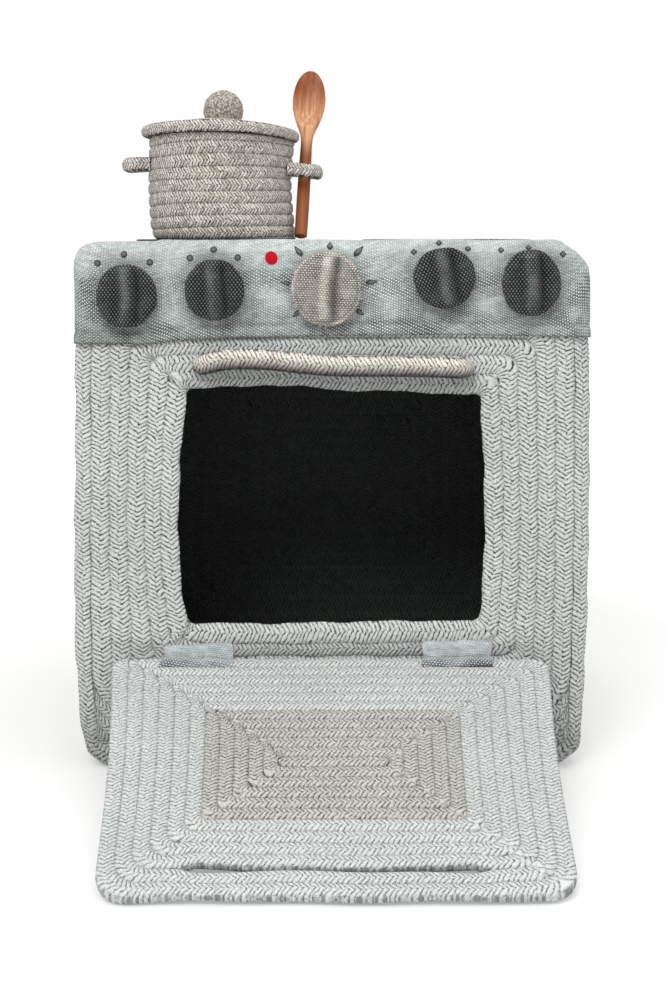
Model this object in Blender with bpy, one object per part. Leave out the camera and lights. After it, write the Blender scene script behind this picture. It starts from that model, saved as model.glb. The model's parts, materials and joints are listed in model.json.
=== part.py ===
"""A coiled-rope play kitchen for a child: a rectangular basket that stands on its side as the oven,
with a drop-down door, a canvas hob cover with five turning knobs, and a rope pot with lid and spoon.

Metres, +Z up. The face looks towards -Y and +X is to its right. The origin is on the floor, under
the middle of the basket.
"""

import math

import bmesh
import bpy
from mathutils import Matrix, Vector

# Clearances and cuts
gap = 0.0003
overrun = 0.004

# The basket: outline, walls and rope rows
basket_width = 0.380
basket_depth = 0.300
basket_height = 0.393
basket_corner = 0.033
edge_round = 0.010
wall = 0.012
row_pitch = 0.013
row_groove = 0.0014
lining_thickness = 0.006

# The oven's mouth in the face: its head is the rope between it and the canvas
mouth_width = 0.224
mouth_sill = 0.1128
mouth_head = 0.0357
mouth_corner = 0.009

# The canvas cover over the top, with its band of knobs
canvas_thickness = 0.0017
band_height = 0.074
burner_edge = 0.0145
burner_gap = 0.009
burner_thickness = 0.0012
burner_across_share = 0.4632
pilot_radius = 0.0052
pilot_thickness = 0.0012
pilot_place_shares = (-0.2384, 0.832)

# The padded knobs: shares of half the basket's width and of the band's height, and the lean in degrees
knob_place_shares = (
    (-0.792, 0.460, 0),
    (-0.455, 0.518, 0),
    (-0.027, 0.532, 3),
    (0.424, 0.638, -15),
    (0.756, 0.588, 0),
)
oven_knob = 3
burner_knob_radius = 0.0230
oven_knob_radius = 0.0268
knob_thickness = 0.0095
knob_crown = 0.0025
ridge_height = 0.0062
ridge_half_width = 0.0034
shank_radius = 0.0030
shank_play = 0.0006
shank_disc_radius = 0.0050
shank_disc_thickness = 0.0020

# The rope handle over the mouth
handle_rope = 0.012
handle_span = 0.191
handle_reach = 0.021
handle_bend = 0.011
handle_over_mouth = 0.0157

# The door, measured from its hinge axis
hinge_under_mouth = 0.0318
door_over_hem = 0.003
door_width = 0.318
door_rope = 0.010
door_row_pitch = 0.0105
door_groove = 0.0011
door_free_corner = 0.022
door_hinge_corner = 0.012
door_taper_share = 0.0786
window_start = 0.0595
window_end = 0.0685
window_width = 0.1825
window_corner = 0.003
slit_play = 0.001
slit_end_play = 0.005

# The two canvas hinge straps
strap_width = 0.054
strap_thickness = 0.0016
strap_play = 0.0005
strap_side_play = 0.001
strap_slot_play = 0.0013
strap_tail = 0.019
strap_place_shares = (-0.525, 0.474)
strap_end_angle = 50

# The pot, its loop handles and its lid
pot_radius = 0.0575
pot_height = 0.079
pot_wall = 0.0095
pot_row_pitch = 0.0097
pot_groove = 0.0011
pot_foot_round = 0.005
loop_rope = 0.011
loop_half_span = 0.017
loop_bend = 0.011
loop_left_reach = 0.021
loop_right_reach = 0.0245
loop_left_height = 0.057
loop_right_height = 0.053
lid_overhang = 0.0037
lid_thickness = 0.0097
lid_crown = 0.0015
lid_shift = 0.0010
ball_radius = 0.0154
ball_seat_radius = 0.0120

# The wooden spoon, which leans back in the right loop
spoon_length = 0.148
spoon_handle_radius = 0.0045
spoon_bowl_length = 0.061
spoon_bowl_half_width = 0.0133
spoon_bowl_half_depth = 0.0048
spoon_dish = 0.0034
spoon_from_wall = 0.0081
spoon_back = 0.0032
spoon_side_lean = 3
spoon_back_lean = 26

# Counts of sides and steps
corner_steps = 4
round_sides = 28
small_sides = 20
peg_sides = 10
tube_sides = 10
spoon_sides = 14
edge_steps = 3

# Places that follow from the sizes
half_width = basket_width / 2
half_depth = basket_depth / 2
face = -half_depth
shell_front = face + wall + gap
shell_back = half_depth - wall - gap
canvas_face = face - gap - canvas_thickness
hob_top = basket_height + gap + canvas_thickness
hem = hob_top - band_height
mouth_top = hem - mouth_head
handle_height = mouth_top + handle_over_mouth
hinge_height = mouth_sill - hinge_under_mouth
door_reach = hem + door_over_hem - hinge_height
window_length = door_reach - window_start - window_end
burner_radius = (half_depth - burner_edge - burner_gap / 2) / 2
burner_x = burner_across_share * half_width
burner_y = burner_radius + burner_gap / 2
burner_bottom = hob_top + gap
burner_top = burner_bottom + burner_thickness
door_half = door_rope / 2
strap_inner = door_half + strap_play
strap_outer = strap_inner + strap_thickness
hinge_y = face - gap - strap_outer
rest_angle = math.asin((hinge_height - door_half - gap) / (door_reach - door_half))
lid_radius = pot_radius + lid_overhang
pot_bottom = burner_top + gap
pot_top = pot_bottom + pot_height
lid_bottom = pot_top + gap

# Colours as 8-bit sRGB, and how rough each surface is
rope_colour = (182, 185, 182)
door_colour = (203, 206, 204)
window_colour = (183, 183, 178)
lining_colour = (30, 33, 31)
canvas_colour = (144, 152, 151)
strap_colour = (161, 167, 167)
dark_canvas_colour = (64, 70, 68)
ecru_colour = (172, 172, 166)
pot_colour = (164, 158, 149)
handle_colour = (173, 170, 163)
pilot_colour = (202, 31, 46)
wood_colour = (166, 106, 64)
cloth_roughness = 0.9
wood_roughness = 0.5


def clear_scene():
    for old in list(bpy.data.objects):
        bpy.data.objects.remove(old, do_unlink=True)


def linear(channel):
    """One 8-bit sRGB channel as linear light."""
    share = channel / 255
    return share / 12.92 if share <= 0.04045 else ((share + 0.055) / 1.055) ** 2.4


def material(name, colour, roughness=cloth_roughness):
    made = bpy.data.materials.get(name)
    if made is None:
        made = bpy.data.materials.new(name)
        made.use_nodes = True
        shader = made.node_tree.nodes["Principled BSDF"]
        shader.inputs["Base Color"].default_value = (*map(linear, colour), 1)
        shader.inputs["Roughness"].default_value = roughness
        shader.inputs["Metallic"].default_value = 0
    return made


def add_object(name, bm, look, parent=None, smooth_angle=40):
    """A new mesh object from bm, which is in the frame of its parent."""
    bmesh.ops.recalc_face_normals(bm, faces=bm.faces)
    mesh = bpy.data.meshes.new(name)
    bm.to_mesh(mesh)
    bm.free()
    mesh.shade_smooth()
    mesh.set_sharp_from_angle(angle=math.radians(smooth_angle))
    made = bpy.data.objects.new(name, mesh)
    bpy.context.scene.collection.objects.link(made)
    if look is not None:
        mesh.materials.append(look)
    if parent is not None:
        made.parent = parent
    return made


def add_empty(name, place, turn=(0, 0, 0), parent=None):
    made = bpy.data.objects.new(name, None)
    bpy.context.scene.collection.objects.link(made)
    made.location = place
    made.rotation_euler = turn
    if parent is not None:
        made.parent = parent
    return made


def loft(rings, closed):
    """A bmesh through rings of equally many points: joined end to end, or capped at both ends."""
    bm = bmesh.new()
    loops = [[bm.verts.new(point) for point in ring] for ring in rings]
    pairs = list(zip(loops, loops[1:]))
    if closed:
        pairs.append((loops[-1], loops[0]))
    for first, second in pairs:
        for i in range(len(first)):
            j = (i + 1) % len(first)
            bm.faces.new((first[i], first[j], second[j], second[i]))
    if not closed:
        bm.faces.new(loops[0])
        bm.faces.new(reversed(loops[-1]))
    return bm


def rounded_rectangle(half, low, high, radius, high_radius=None):
    """Points of a rectangle with round corners, as pairs: across, then from low to high."""
    if high_radius is None:
        high_radius = radius
    corners = (
        (half - radius, low + radius, -90, radius),
        (half - high_radius, high - high_radius, 0, high_radius),
        (high_radius - half, high - high_radius, 90, high_radius),
        (radius - half, low + radius, 180, radius),
    )
    points = []
    for across, along, start, round_radius in corners:
        for step in range(corner_steps + 1):
            angle = math.radians(start + 90 * step / corner_steps)
            points.append(
                (across + round_radius * math.cos(angle), along + round_radius * math.sin(angle))
            )
    return points


def circle(radius, sides, turn=0):
    angles = [math.tau * (i + turn) / sides for i in range(sides)]
    return [(radius * math.cos(a), radius * math.sin(a)) for a in angles]


def blend(first, second, share):
    return [
        tuple(a + (b - a) * share for a, b in zip(p, q)) for p, q in zip(first, second)
    ]


def basket_outline(inset, flat_base=False):
    """The basket's outline in X and Z, drawn in by inset; a flat base stays on the floor."""
    low = 0 if flat_base else inset
    return rounded_rectangle(
        half_width - inset, low, basket_height - inset, basket_corner - inset
    )


def upright(outline, y):
    return [(x, y, z) for x, z in outline]


def level(outline, z, centre=(0, 0)):
    return [(x + centre[0], y + centre[1], z) for x, y in outline]


def rolled_edge():
    """Inset and depth from the face of each step round the basket's edge, from the face outwards."""
    for step in range(edge_steps + 1):
        angle = math.radians(90 * step / edge_steps)
        yield edge_round * (1 - math.sin(angle)), edge_round * (1 - math.cos(angle))


def cylinder_y(radius, sides, centre, y_from, y_to):
    outline = [(centre[0] + x, centre[1] + z) for x, z in circle(radius, sides)]
    return loft([upright(outline, y_from), upright(outline, y_to)], closed=False)


def add_cutter(name, bm, targets, parent=None):
    """A hidden solid that is cut from each of the targets."""
    cutter = add_object(name, bm, None, parent)
    cutter.hide_render = True
    cutter.display_type = "WIRE"
    for target in targets:
        cut = target.modifiers.new(name, "BOOLEAN")
        cut.operation = "DIFFERENCE"
        cut.solver = "EXACT"
        cut.object = cutter
    return cutter


def sweep(path, radius, sides=tube_sides):
    """A capped tube along a path that lies in one plane."""
    points = [Vector(p) for p in path]
    ends = (points[1] - points[0]).cross(points[len(points) // 2] - points[0])
    across = ends.normalized()
    rings = []
    for i, point in enumerate(points):
        ahead = points[min(i + 1, len(points) - 1)] - points[max(i - 1, 0)]
        side = ahead.normalized().cross(across)
        rings.append(
            [tuple(point + side * u + across * v) for u, v in circle(radius, sides)]
        )
    return loft(rings, closed=False)


def bail_path(half_span, reach, bend, lead=0):
    """A flat bail as pairs (across, out): two legs and a run, joined by round bends."""
    path = [(-half_span, -lead)]
    for start, centre in ((180, bend - half_span), (90, half_span - bend)):
        for step in range(corner_steps + 1):
            angle = math.radians(start - 90 * step / corner_steps)
            path.append((centre + bend * math.cos(angle), reach - bend + bend * math.sin(angle)))
    path.append((half_span, -lead))
    return path


def knob_places():
    """Centre and lean of each knob on the canvas band."""
    for across, up, lean in knob_place_shares:
        yield (across * half_width, hem + up * band_height), math.radians(lean)


def knob_radius(number):
    return oven_knob_radius if number == oven_knob else burner_knob_radius


# The basket


def face_rings():
    """Rope rows round the mouth, then the rolled edge, then the flat back of the face."""
    half_mouth = mouth_width / 2
    side_room = half_width - half_mouth
    room = min(side_room, mouth_sill, basket_height - mouth_top) - edge_round
    rows = max(int(room / row_pitch), 1)
    growth = (basket_corner - mouth_corner) / side_room
    rings = []
    for step in range(2 * rows + 1):
        out = step * row_pitch / 2
        depth = row_groove if step % 2 == 0 else 0
        outline = rounded_rectangle(
            half_mouth + out, mouth_sill - out, mouth_top + out, mouth_corner + growth * out
        )
        rings.append(upright(outline, face + depth))
    for inset, depth in rolled_edge():
        rings.append(upright(basket_outline(inset), face + depth))
    rings.append(upright(basket_outline(0), face + wall))
    mouth = rounded_rectangle(half_mouth, mouth_sill, mouth_top, mouth_corner)
    rings.append(upright(mouth, face + wall))
    return rings


def wall_rings():
    """Rope rows round the sides, flat where they meet the floor, and the plain inside."""
    rows = max(round((shell_back - shell_front) / row_pitch), 1)
    rings = []
    for step in range(2 * rows + 1):
        inset = row_groove if step % 2 == 0 else 0
        y = shell_front + (shell_back - shell_front) * step / (2 * rows)
        rings.append(upright(basket_outline(inset, flat_base=True), y))
    inside = basket_outline(wall)
    rings.append(upright(inside, shell_back))
    rings.append(upright(inside, shell_front))
    return rings


def back_rings():
    """The flat inside of the back, its rolled edge, then rope rows in to the middle."""
    back = half_depth
    rings = [upright(basket_outline(0), back - wall)]
    for inset, depth in reversed(list(rolled_edge())):
        rings.append(upright(basket_outline(inset), back - depth))
    room = min(half_width, basket_height / 2) - edge_round
    rows = max(int(room / row_pitch) - 1, 1)
    shrink = (basket_corner - edge_round) / room
    for step in range(1, 2 * rows + 1):
        out = edge_round + step * row_pitch / 2
        depth = row_groove if step % 2 == 1 else 0
        radius = basket_corner - edge_round - shrink * (out - edge_round)
        outline = rounded_rectangle(half_width - out, out, basket_height - out, radius)
        rings.append(upright(outline, back - depth))
    return rings


def lining_rings():
    """A dark inner basket, open at the front: from its inner back, out over the rim, to its outer back."""
    outer = basket_outline(wall + gap)
    inner = basket_outline(wall + gap + lining_thickness)
    return [
        upright(inner, shell_back - lining_thickness),
        upright(inner, shell_front),
        upright(outer, shell_front),
        upright(outer, shell_back),
    ]


def build_basket():
    look = material("light_rope", rope_colour)
    front = add_object("front_panel", loft(face_rings(), closed=True), look)
    add_object("basket_wall", loft(wall_rings(), closed=True), look)
    add_object("back_panel", loft(back_rings(), closed=False), look)
    dark = material("dark_rope", lining_colour)
    add_object("oven_lining", loft(lining_rings(), closed=False), dark)
    return front


# The canvas cover and what is sewn on it


def cover_heights():
    """Heights at which the cover's plan changes, from the hem to the top of the basket."""
    heights = {hem}
    for step in range(corner_steps + 1):
        angle = math.radians(90 * step / corner_steps)
        heights.add(basket_height - basket_corner * (1 - math.sin(angle)))
    for inset, depth in rolled_edge():
        heights.add(basket_height - inset)
    return sorted(z for z in heights if z >= hem)


def cover_ring(z, offset):
    """The plan of the basket at height z, grown by offset on every side."""
    up_corner = max(z - basket_height + basket_corner, 0)
    up_edge = max(z - basket_height + edge_round, 0)
    corner = basket_corner + offset
    edge = edge_round + offset
    corner_rise = up_corner * corner / basket_corner
    edge_rise = up_edge * edge / edge_round
    across = half_width - basket_corner + math.sqrt(max(corner**2 - corner_rise**2, 0))
    along = half_depth - edge_round + math.sqrt(max(edge**2 - edge_rise**2, 0))
    lift = corner_rise - up_corner
    plan_corner = max(along - half_depth + edge_round, gap)
    outline = rounded_rectangle(across, -along, along, plan_corner)
    return level(outline, z + lift)


def build_cover(front):
    look = material("canvas", canvas_colour)
    heights = cover_heights()
    inner = [cover_ring(z, gap) for z in reversed(heights)]
    outer = [cover_ring(z, gap + canvas_thickness) for z in heights]
    cover = add_object("canvas_cover", loft(inner + outer, closed=False), look)
    for number, (place, _lean) in enumerate(knob_places(), 1):
        hole = cylinder_y(
            shank_radius + shank_play, peg_sides, place, canvas_face - overrun, shell_front + overrun
        )
        add_cutter(f"shank_hole_{number}", hole, (front, cover))
    red = material("red_felt", pilot_colour)
    pilot = (pilot_place_shares[0] * half_width, hem + pilot_place_shares[1] * band_height)
    pilot_back = canvas_face - gap
    disc = cylinder_y(pilot_radius, small_sides, pilot, pilot_back - pilot_thickness, pilot_back)
    add_object("pilot_light", disc, red)
    dark = material("dark_canvas", dark_canvas_colour)
    corners = ((-1, -1), (1, -1), (-1, 1), (1, 1))
    for number, (side, depth) in enumerate(corners, 1):
        centre = (side * burner_x, depth * burner_y)
        outline = circle(burner_radius, round_sides)
        rings = [level(outline, burner_bottom, centre), level(outline, burner_top, centre)]
        add_object(f"burner_{number}", loft(rings, closed=False), dark)


def knob_rings(radius):
    """A padded disc, flat at the back, with a pinched ridge across its crown, about the Y axis."""
    back = 0
    waist_share = 0.94
    crown_shares = (0.97, 0.86, 0.70, 0.52, 0.34, 0.16)
    rings = [upright(circle(radius * waist_share, small_sides), back)]
    rings.append(upright(circle(radius, small_sides), -knob_thickness / 2))
    for share in crown_shares:
        ring = []
        for x, z in circle(radius * share, small_sides):
            crown = knob_crown * (1 - share**2)
            fade = 1 - share**4
            pinch = ridge_height * fade * math.exp(-((x / ridge_half_width) ** 2))
            ring.append((x, -knob_thickness - crown - pinch, z))
        rings.append(ring)
    return rings


def shank_rings():
    """The peg behind a knob, which ends in a disc inside the basket."""
    start = gap
    disc_front = shell_front - canvas_face + gap
    disc_back = disc_front + shank_disc_thickness
    steps = (
        (shank_radius, start),
        (shank_radius, disc_front),
        (shank_disc_radius, disc_front),
        (shank_disc_radius, disc_back),
    )
    return [upright(circle(radius, peg_sides), y) for radius, y in steps]


def build_knobs():
    dark = material("dark_canvas", dark_canvas_colour)
    ecru = material("ecru_canvas", ecru_colour)
    peg = material("peg", handle_colour)
    for number, (place, lean) in enumerate(knob_places(), 1):
        pivot = add_empty(
            f"knob_{number}_axis", (place[0], canvas_face - gap, place[1]), (0, lean, 0)
        )
        look = ecru if number == oven_knob else dark
        disc = loft(knob_rings(knob_radius(number)), closed=False)
        add_object(f"knob_{number}", disc, look, pivot, smooth_angle=60)
        add_object(f"knob_{number}_shank", loft(shank_rings(), closed=False), peg, pivot)


# The rope handle and the door


def build_handle():
    run = handle_reach - handle_rope / 2
    path = [
        (across, face - gap - out, handle_height)
        for across, out in bail_path(handle_span / 2, run, handle_bend)
    ]
    look = material("warm_rope", handle_colour)
    add_object("door_handle_rope", sweep(path, handle_rope / 2), look, smooth_angle=60)


def on_door(x, along, out):
    """A point of the open door: across, out from the hinge axis, and up from its middle plane."""
    narrowed = x * (1 - door_taper_share * along / door_reach)
    return (narrowed, -along, out)


def door_ring(outline, out):
    return [on_door(x, along, out) for x, along in outline]


def door_outline(inset):
    return rounded_rectangle(
        door_width / 2 - inset,
        inset - door_half,
        door_reach - inset,
        door_hinge_corner - inset,
        door_free_corner - inset,
    )


def window_outline(inset):
    return rounded_rectangle(
        window_width / 2 - inset,
        window_start + inset,
        window_start + window_length - inset,
        window_corner,
    )


def frame_rings():
    """Rope rows out from the window over the top, round the outer rope, and back underneath."""
    rows = max(round((window_start + door_half) / door_row_pitch), 1)
    last = 2 * rows - 1
    hole = window_outline(-gap)
    top = []
    for step in range(last + 1):
        depth = door_groove if step % 2 == 0 else 0
        outline = blend(hole, door_outline(door_half), step / last)
        top.append((outline, door_half - depth))
    rings = [door_ring(outline, out) for outline, out in top]
    turn_steps = 2 * edge_steps
    for step in range(1, turn_steps):
        angle = math.radians(90 - 180 * step / turn_steps)
        inset = door_half * (1 - math.cos(angle))
        rings.append(door_ring(door_outline(inset), door_half * math.sin(angle)))
    rings.extend(door_ring(outline, -out) for outline, out in reversed(top))
    return rings


def window_rings():
    """The beige middle of the door's coil, rope rows on both sides."""
    room = min(window_width, window_length) / 2 - window_corner
    rows = max(int(room / door_row_pitch), 1)
    top = []
    for step in range(2 * rows, -1, -1):
        depth = door_groove if step % 2 == 0 else 0
        top.append((window_outline(step * door_row_pitch / 2), door_half - depth))
    rings = [door_ring(outline, out) for outline, out in top]
    rings.extend(door_ring(outline, -out) for outline, out in reversed(top))
    return rings


def slot_outline():
    """The gap behind the hinge rope in which a strap runs: a box less the round rope."""
    far = strap_outer + strap_slot_play
    tall = door_half + overrun
    outline = [(0, tall), (far, tall), (far, -tall), (0, -tall)]
    for step in range(2 * corner_steps + 1):
        angle = math.radians(-90 + 90 * step / corner_steps)
        outline.append((door_half * math.cos(angle), door_half * math.sin(angle)))
    return outline


def prism_x(outline, x_from, x_to):
    """An outline in (-Y, Z) pushed along X."""
    rings = [[(x, -along, out) for along, out in outline] for x in (x_from, x_to)]
    return loft(rings, closed=False)


def build_door():
    hinge = add_empty("door_hinge", (0, hinge_y, hinge_height), (rest_angle, 0, 0))
    frame = add_object(
        "door_frame",
        loft(frame_rings(), closed=True),
        material("door_rope", door_colour),
        hinge,
    )
    add_object(
        "door_window",
        loft(window_rings(), closed=False),
        material("window_rope", window_colour),
        hinge,
    )
    slit_half = handle_span / 2 + handle_rope / 2 + slit_end_play
    slit_middle = handle_height - hinge_height
    slit_rise = handle_rope / 2 + slit_play
    slit = rounded_rectangle(slit_half, slit_middle - slit_rise, slit_middle + slit_rise, slit_rise)
    rings = [
        [(x, -along, out) for x, along in slit]
        for out in (door_half + overrun, -door_half - overrun)
    ]
    add_cutter("handle_slit", loft(rings, closed=False), (frame,), hinge)
    reach = strap_width / 2 + strap_side_play
    for name, share in zip(("left", "right"), strap_place_shares):
        middle = share * half_width
        slot = prism_x(slot_outline(), middle - reach, middle + reach)
        add_cutter(f"strap_slot_{name}", slot, (frame,), hinge)


def strap_path():
    """The middle of a strap in (-Y, Z) from the hinge axis: down the face, then round the rope."""
    mid = (strap_inner + strap_outer) / 2
    path = [((-mid, strap_tail), (-1, 0))]
    turns = 3 * corner_steps
    for step in range(turns + 1):
        angle = math.radians(180 + (360 - strap_end_angle) * step / turns)
        out = (math.cos(angle), math.sin(angle))
        path.append(((mid * out[0], mid * out[1]), out))
    return path


def build_straps():
    look = material("strap_canvas", strap_colour)
    half = strap_thickness / 2
    for name, share in zip(("left", "right"), strap_place_shares):
        middle = share * half_width
        rings = []
        for (along, up), (side, rise) in strap_path():
            ring = []
            for x, out in ((-1, -1), (1, -1), (1, 1), (-1, 1)):
                ring.append(
                    (
                        middle + x * strap_width / 2,
                        hinge_y - (along + out * half * side),
                        hinge_height + up + out * half * rise,
                    )
                )
            rings.append(ring)
        add_object(f"hinge_strap_{name}", loft(rings, closed=False), look, smooth_angle=60)


# The pot, its lid and the spoon


def turned(steps, sides=round_sides):
    """Level rings from pairs (radius, height)."""
    return [level(circle(radius, sides), z) for radius, z in steps]


def pot_steps():
    """From the inner base up the inside, over the rim and down the rope rows to the foot."""
    inner = pot_radius - pot_wall
    steps = [(inner, pot_wall), (inner, pot_height)]
    rows = max(round(pot_height / pot_row_pitch), 1)
    for step in range(2 * rows + 1):
        inset = pot_groove if step % 2 == 0 else 0
        z = pot_height * (1 - step / (2 * rows))
        steps.append((pot_radius - inset, z))
    steps[-1] = (pot_radius - pot_foot_round, 0)
    return steps


def lid_steps():
    """The flat underside, the outer rope, then rope rows up to the crown."""
    half = lid_thickness / 2
    steps = [(lid_radius - half, 0)]
    for step in range(1, edge_steps * 2):
        angle = math.radians(-90 + 180 * step / (2 * edge_steps))
        steps.append((lid_radius - half + half * math.cos(angle), half + half * math.sin(angle)))
    rows = max(int((lid_radius - half - ball_seat_radius) / pot_row_pitch), 1)
    for step in range(2 * rows + 1):
        inset = half + step * pot_row_pitch / 2
        depth = pot_groove if step % 2 == 1 else 0
        rise = lid_crown * (1 - (1 - inset / lid_radius) ** 2)
        steps.append((lid_radius - inset, lid_thickness - depth + rise))
    return steps


def ball_steps():
    """A ball, flat where it is sewn to the lid, from its seat up."""
    steps = []
    start = math.asin(ball_seat_radius / ball_radius)
    count = 2 * corner_steps
    top_share = 0.96
    for step in range(count + 1):
        angle = start + (math.pi * top_share - start) * step / count
        height = ball_radius * (math.cos(start) - math.cos(angle))
        steps.append((ball_radius * math.sin(angle), height))
    return steps


def add_loop(name, parent, side, reach, height):
    """A rope loop that lies level on the pot's side, cut to fit its round wall."""
    run = reach - loop_rope / 2
    path = [
        (side * (pot_radius + out), across, height)
        for across, out in bail_path(loop_half_span, run, loop_bend, lead=loop_rope)
    ]
    look = material("pot_rope", pot_colour)
    loop = add_object(name, sweep(path, loop_rope / 2), look, parent, smooth_angle=60)
    rings = turned(
        (
            (pot_radius + gap, height - loop_rope / 2 - overrun),
            (pot_radius + gap, height + loop_rope / 2 + overrun),
        )
    )
    add_cutter(f"{name}_seat", loft(rings, closed=False), (loop,), parent)


def build_pot():
    look = material("pot_rope", pot_colour)
    base = add_empty("pot_lift", (-burner_x, -burner_y, pot_bottom))
    add_object("pot_body", loft(turned(pot_steps()), closed=False), look, base)
    add_loop("pot_handle_left", base, -1, loop_left_reach, loop_left_height)
    add_loop("pot_handle_right", base, 1, loop_right_reach, loop_right_height)
    lift = add_empty("lid_lift", (-lid_shift, 0, pot_height + gap), parent=base)
    add_object("pot_lid", loft(turned(lid_steps()), closed=False), look, lift)
    seat = add_empty("ball_seat", (0, 0, lid_steps()[-1][1] + gap), parent=lift)
    ball = loft(turned(ball_steps(), small_sides), closed=False)
    add_object("lid_knob", ball, look, seat)
    return base


def spoon_section(share):
    """Half width, half depth and dish of the spoon at a share of its length from the foot."""
    bowl_start = 1 - spoon_bowl_length / spoon_length
    if share <= bowl_start:
        return spoon_handle_radius, spoon_handle_radius, 0
    place = (share - bowl_start) / (1 - bowl_start)
    swell = math.sin(math.pi * place**0.85) ** 0.8 if place < 1 else 0
    tail = 1 - place
    half = spoon_handle_radius * tail + (spoon_bowl_half_width - spoon_handle_radius * tail) * swell
    deep = spoon_handle_radius * tail + (spoon_bowl_half_depth - spoon_handle_radius * tail) * swell
    return half, deep, spoon_dish * swell**2


def spoon_rings():
    handle_shares = (0, 0.3, 0.6)
    bowl_count = 3 * corner_steps
    bowl_start = 1 - spoon_bowl_length / spoon_length
    end_share = 0.985
    shares = list(handle_shares)
    for step in range(bowl_count + 1):
        shares.append(bowl_start + (1 - bowl_start) * end_share * step / bowl_count)
    rings = []
    for share in shares:
        half, deep, dish = spoon_section(share)
        ring = []
        for x, y in circle(1, spoon_sides):
            hollow = dish * (1 - x**2) if y < 0 else 0
            ring.append((x * half, y * deep + hollow, share * spoon_length))
        rings.append(ring)
    return rings


def build_spoon(pot):
    """The spoon's axis runs through the right loop; its foot stands on the burner."""
    look = material("wood", wood_colour, wood_roughness)
    turn = Matrix.Rotation(math.radians(spoon_side_lean), 4, "Y")
    turn = turn @ Matrix.Rotation(-math.radians(spoon_back_lean), 4, "X")
    axis = turn @ Vector((0, 0, 1))
    through = Vector((pot_radius + spoon_from_wall, spoon_back, loop_right_height))
    low_edge = spoon_handle_radius * math.sqrt(1 - axis.z**2)
    foot = through - axis * ((loop_right_height - low_edge) / axis.z)
    slide = add_empty("spoon_lift", foot, turn.to_euler(), pot)
    add_object("spoon", loft(spoon_rings(), closed=False), look, slide, smooth_angle=60)


def main():
    clear_scene()
    front = build_basket()
    build_cover(front)
    build_handle()
    build_straps()
    build_knobs()
    build_door()
    pot = build_pot()
    build_spoon(pot)


main()
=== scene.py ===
# %% [markdown]
# # A play kitchen made of coiled rope
#
# The real object is a rectangular basket that stands on its side. Its mouth is the oven, a flat coil
# of rope is the door, and a canvas cover with padded knobs makes the hob. A small rope pot with a lid
# and a wooden spoon stands on top. Nearly all of it is one kind of thing: braided cotton rope, laid row
# beside row and sewn. So this lesson first makes a good rope, and then lays it along different routes.

# %% Load the solid model as a fixed frame
import contextlib
import json
import math

import bmesh
import bpy
import numpy as np
from mathutils import Matrix, Vector


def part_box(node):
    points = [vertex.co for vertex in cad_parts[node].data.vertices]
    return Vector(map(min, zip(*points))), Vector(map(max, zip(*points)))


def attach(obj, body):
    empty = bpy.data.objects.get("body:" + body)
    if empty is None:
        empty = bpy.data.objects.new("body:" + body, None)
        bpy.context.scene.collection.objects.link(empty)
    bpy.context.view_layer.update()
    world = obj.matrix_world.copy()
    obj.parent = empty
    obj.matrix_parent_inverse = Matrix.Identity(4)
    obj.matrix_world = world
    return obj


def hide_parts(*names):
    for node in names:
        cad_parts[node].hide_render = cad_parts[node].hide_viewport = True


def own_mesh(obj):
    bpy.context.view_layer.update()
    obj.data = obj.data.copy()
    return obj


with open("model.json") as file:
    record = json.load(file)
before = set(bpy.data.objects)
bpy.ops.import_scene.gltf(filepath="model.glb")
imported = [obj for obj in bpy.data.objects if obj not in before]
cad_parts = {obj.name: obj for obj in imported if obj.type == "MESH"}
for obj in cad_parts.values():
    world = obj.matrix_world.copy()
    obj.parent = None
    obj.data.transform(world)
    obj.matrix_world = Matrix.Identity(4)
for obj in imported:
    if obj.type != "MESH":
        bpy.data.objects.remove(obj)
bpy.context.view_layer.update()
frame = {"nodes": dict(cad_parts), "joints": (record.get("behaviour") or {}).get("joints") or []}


# %% [markdown]
# ## Helpers
#
# Most pieces here are either shaped with Blender's own operators, as by hand, or are rows of rope whose
# points come from a formula. These helpers keep both short. The shader helpers let a socket be reckoned
# with like a number: every plus or times adds a Math node.

# %% Helpers for numbers


def unit(values):
    """Values held between 0 and 1."""
    return np.clip(values, 0, 1)


def eased(share):
    """A share from 0 to 1 that starts and ends gently."""
    return share * share * (3 - 2 * share)


def bell(values, middle, width, power=2):
    """A soft hill: 1 at the middle, falling to about a third at its width."""
    return np.exp(-(np.abs((np.asarray(values, float) - middle) / width) ** power))


def stacked(x, y, z):
    """Rows of points from their three coordinates."""
    return np.stack(np.broadcast_arrays(x, y, z), 1)


def directions(vectors):
    """The same vectors, each of length 1."""
    return vectors / np.maximum(np.linalg.norm(vectors, axis=1), 1e-9)[:, None]


def run_along(points):
    """How far along their line each point lies."""
    return np.concatenate([[0], np.cumsum(np.linalg.norm(np.diff(points, axis=0), axis=1))])


def hashed(values, seed):
    """Repeatable noise from -1 to 1 for each number."""
    wave = np.sin(np.asarray(values, float) * 12.9898 + seed * 78.233) * 43758.5453
    return 2 * (wave - np.floor(wave)) - 1


def drift(along, step, seed):
    """Smooth noise from -1 to 1 along a length, with a new value every step."""
    place = np.asarray(along, float) / step
    low = np.floor(place)
    share = eased(place - low)
    return hashed(low, seed) * (1 - share) + hashed(low + 1, seed) * share


print("noise of the first three numbers:", hashed(np.arange(3), 3).round(2))


# %% Helpers for meshes


def only(obj):
    """Makes obj the one selected and active object."""
    bpy.ops.object.select_all(action="DESELECT")
    obj.select_set(True)
    bpy.context.view_layer.objects.active = obj
    return obj


def primitive(add, name, **values):
    """A new piece from one of Blender's primitives."""
    bpy.ops.object.select_all(action="DESELECT")
    add(**values)
    made = only(bpy.context.active_object)
    made.name = name
    bpy.ops.object.transform_apply(location=True, rotation=True, scale=True)
    return made


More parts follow.
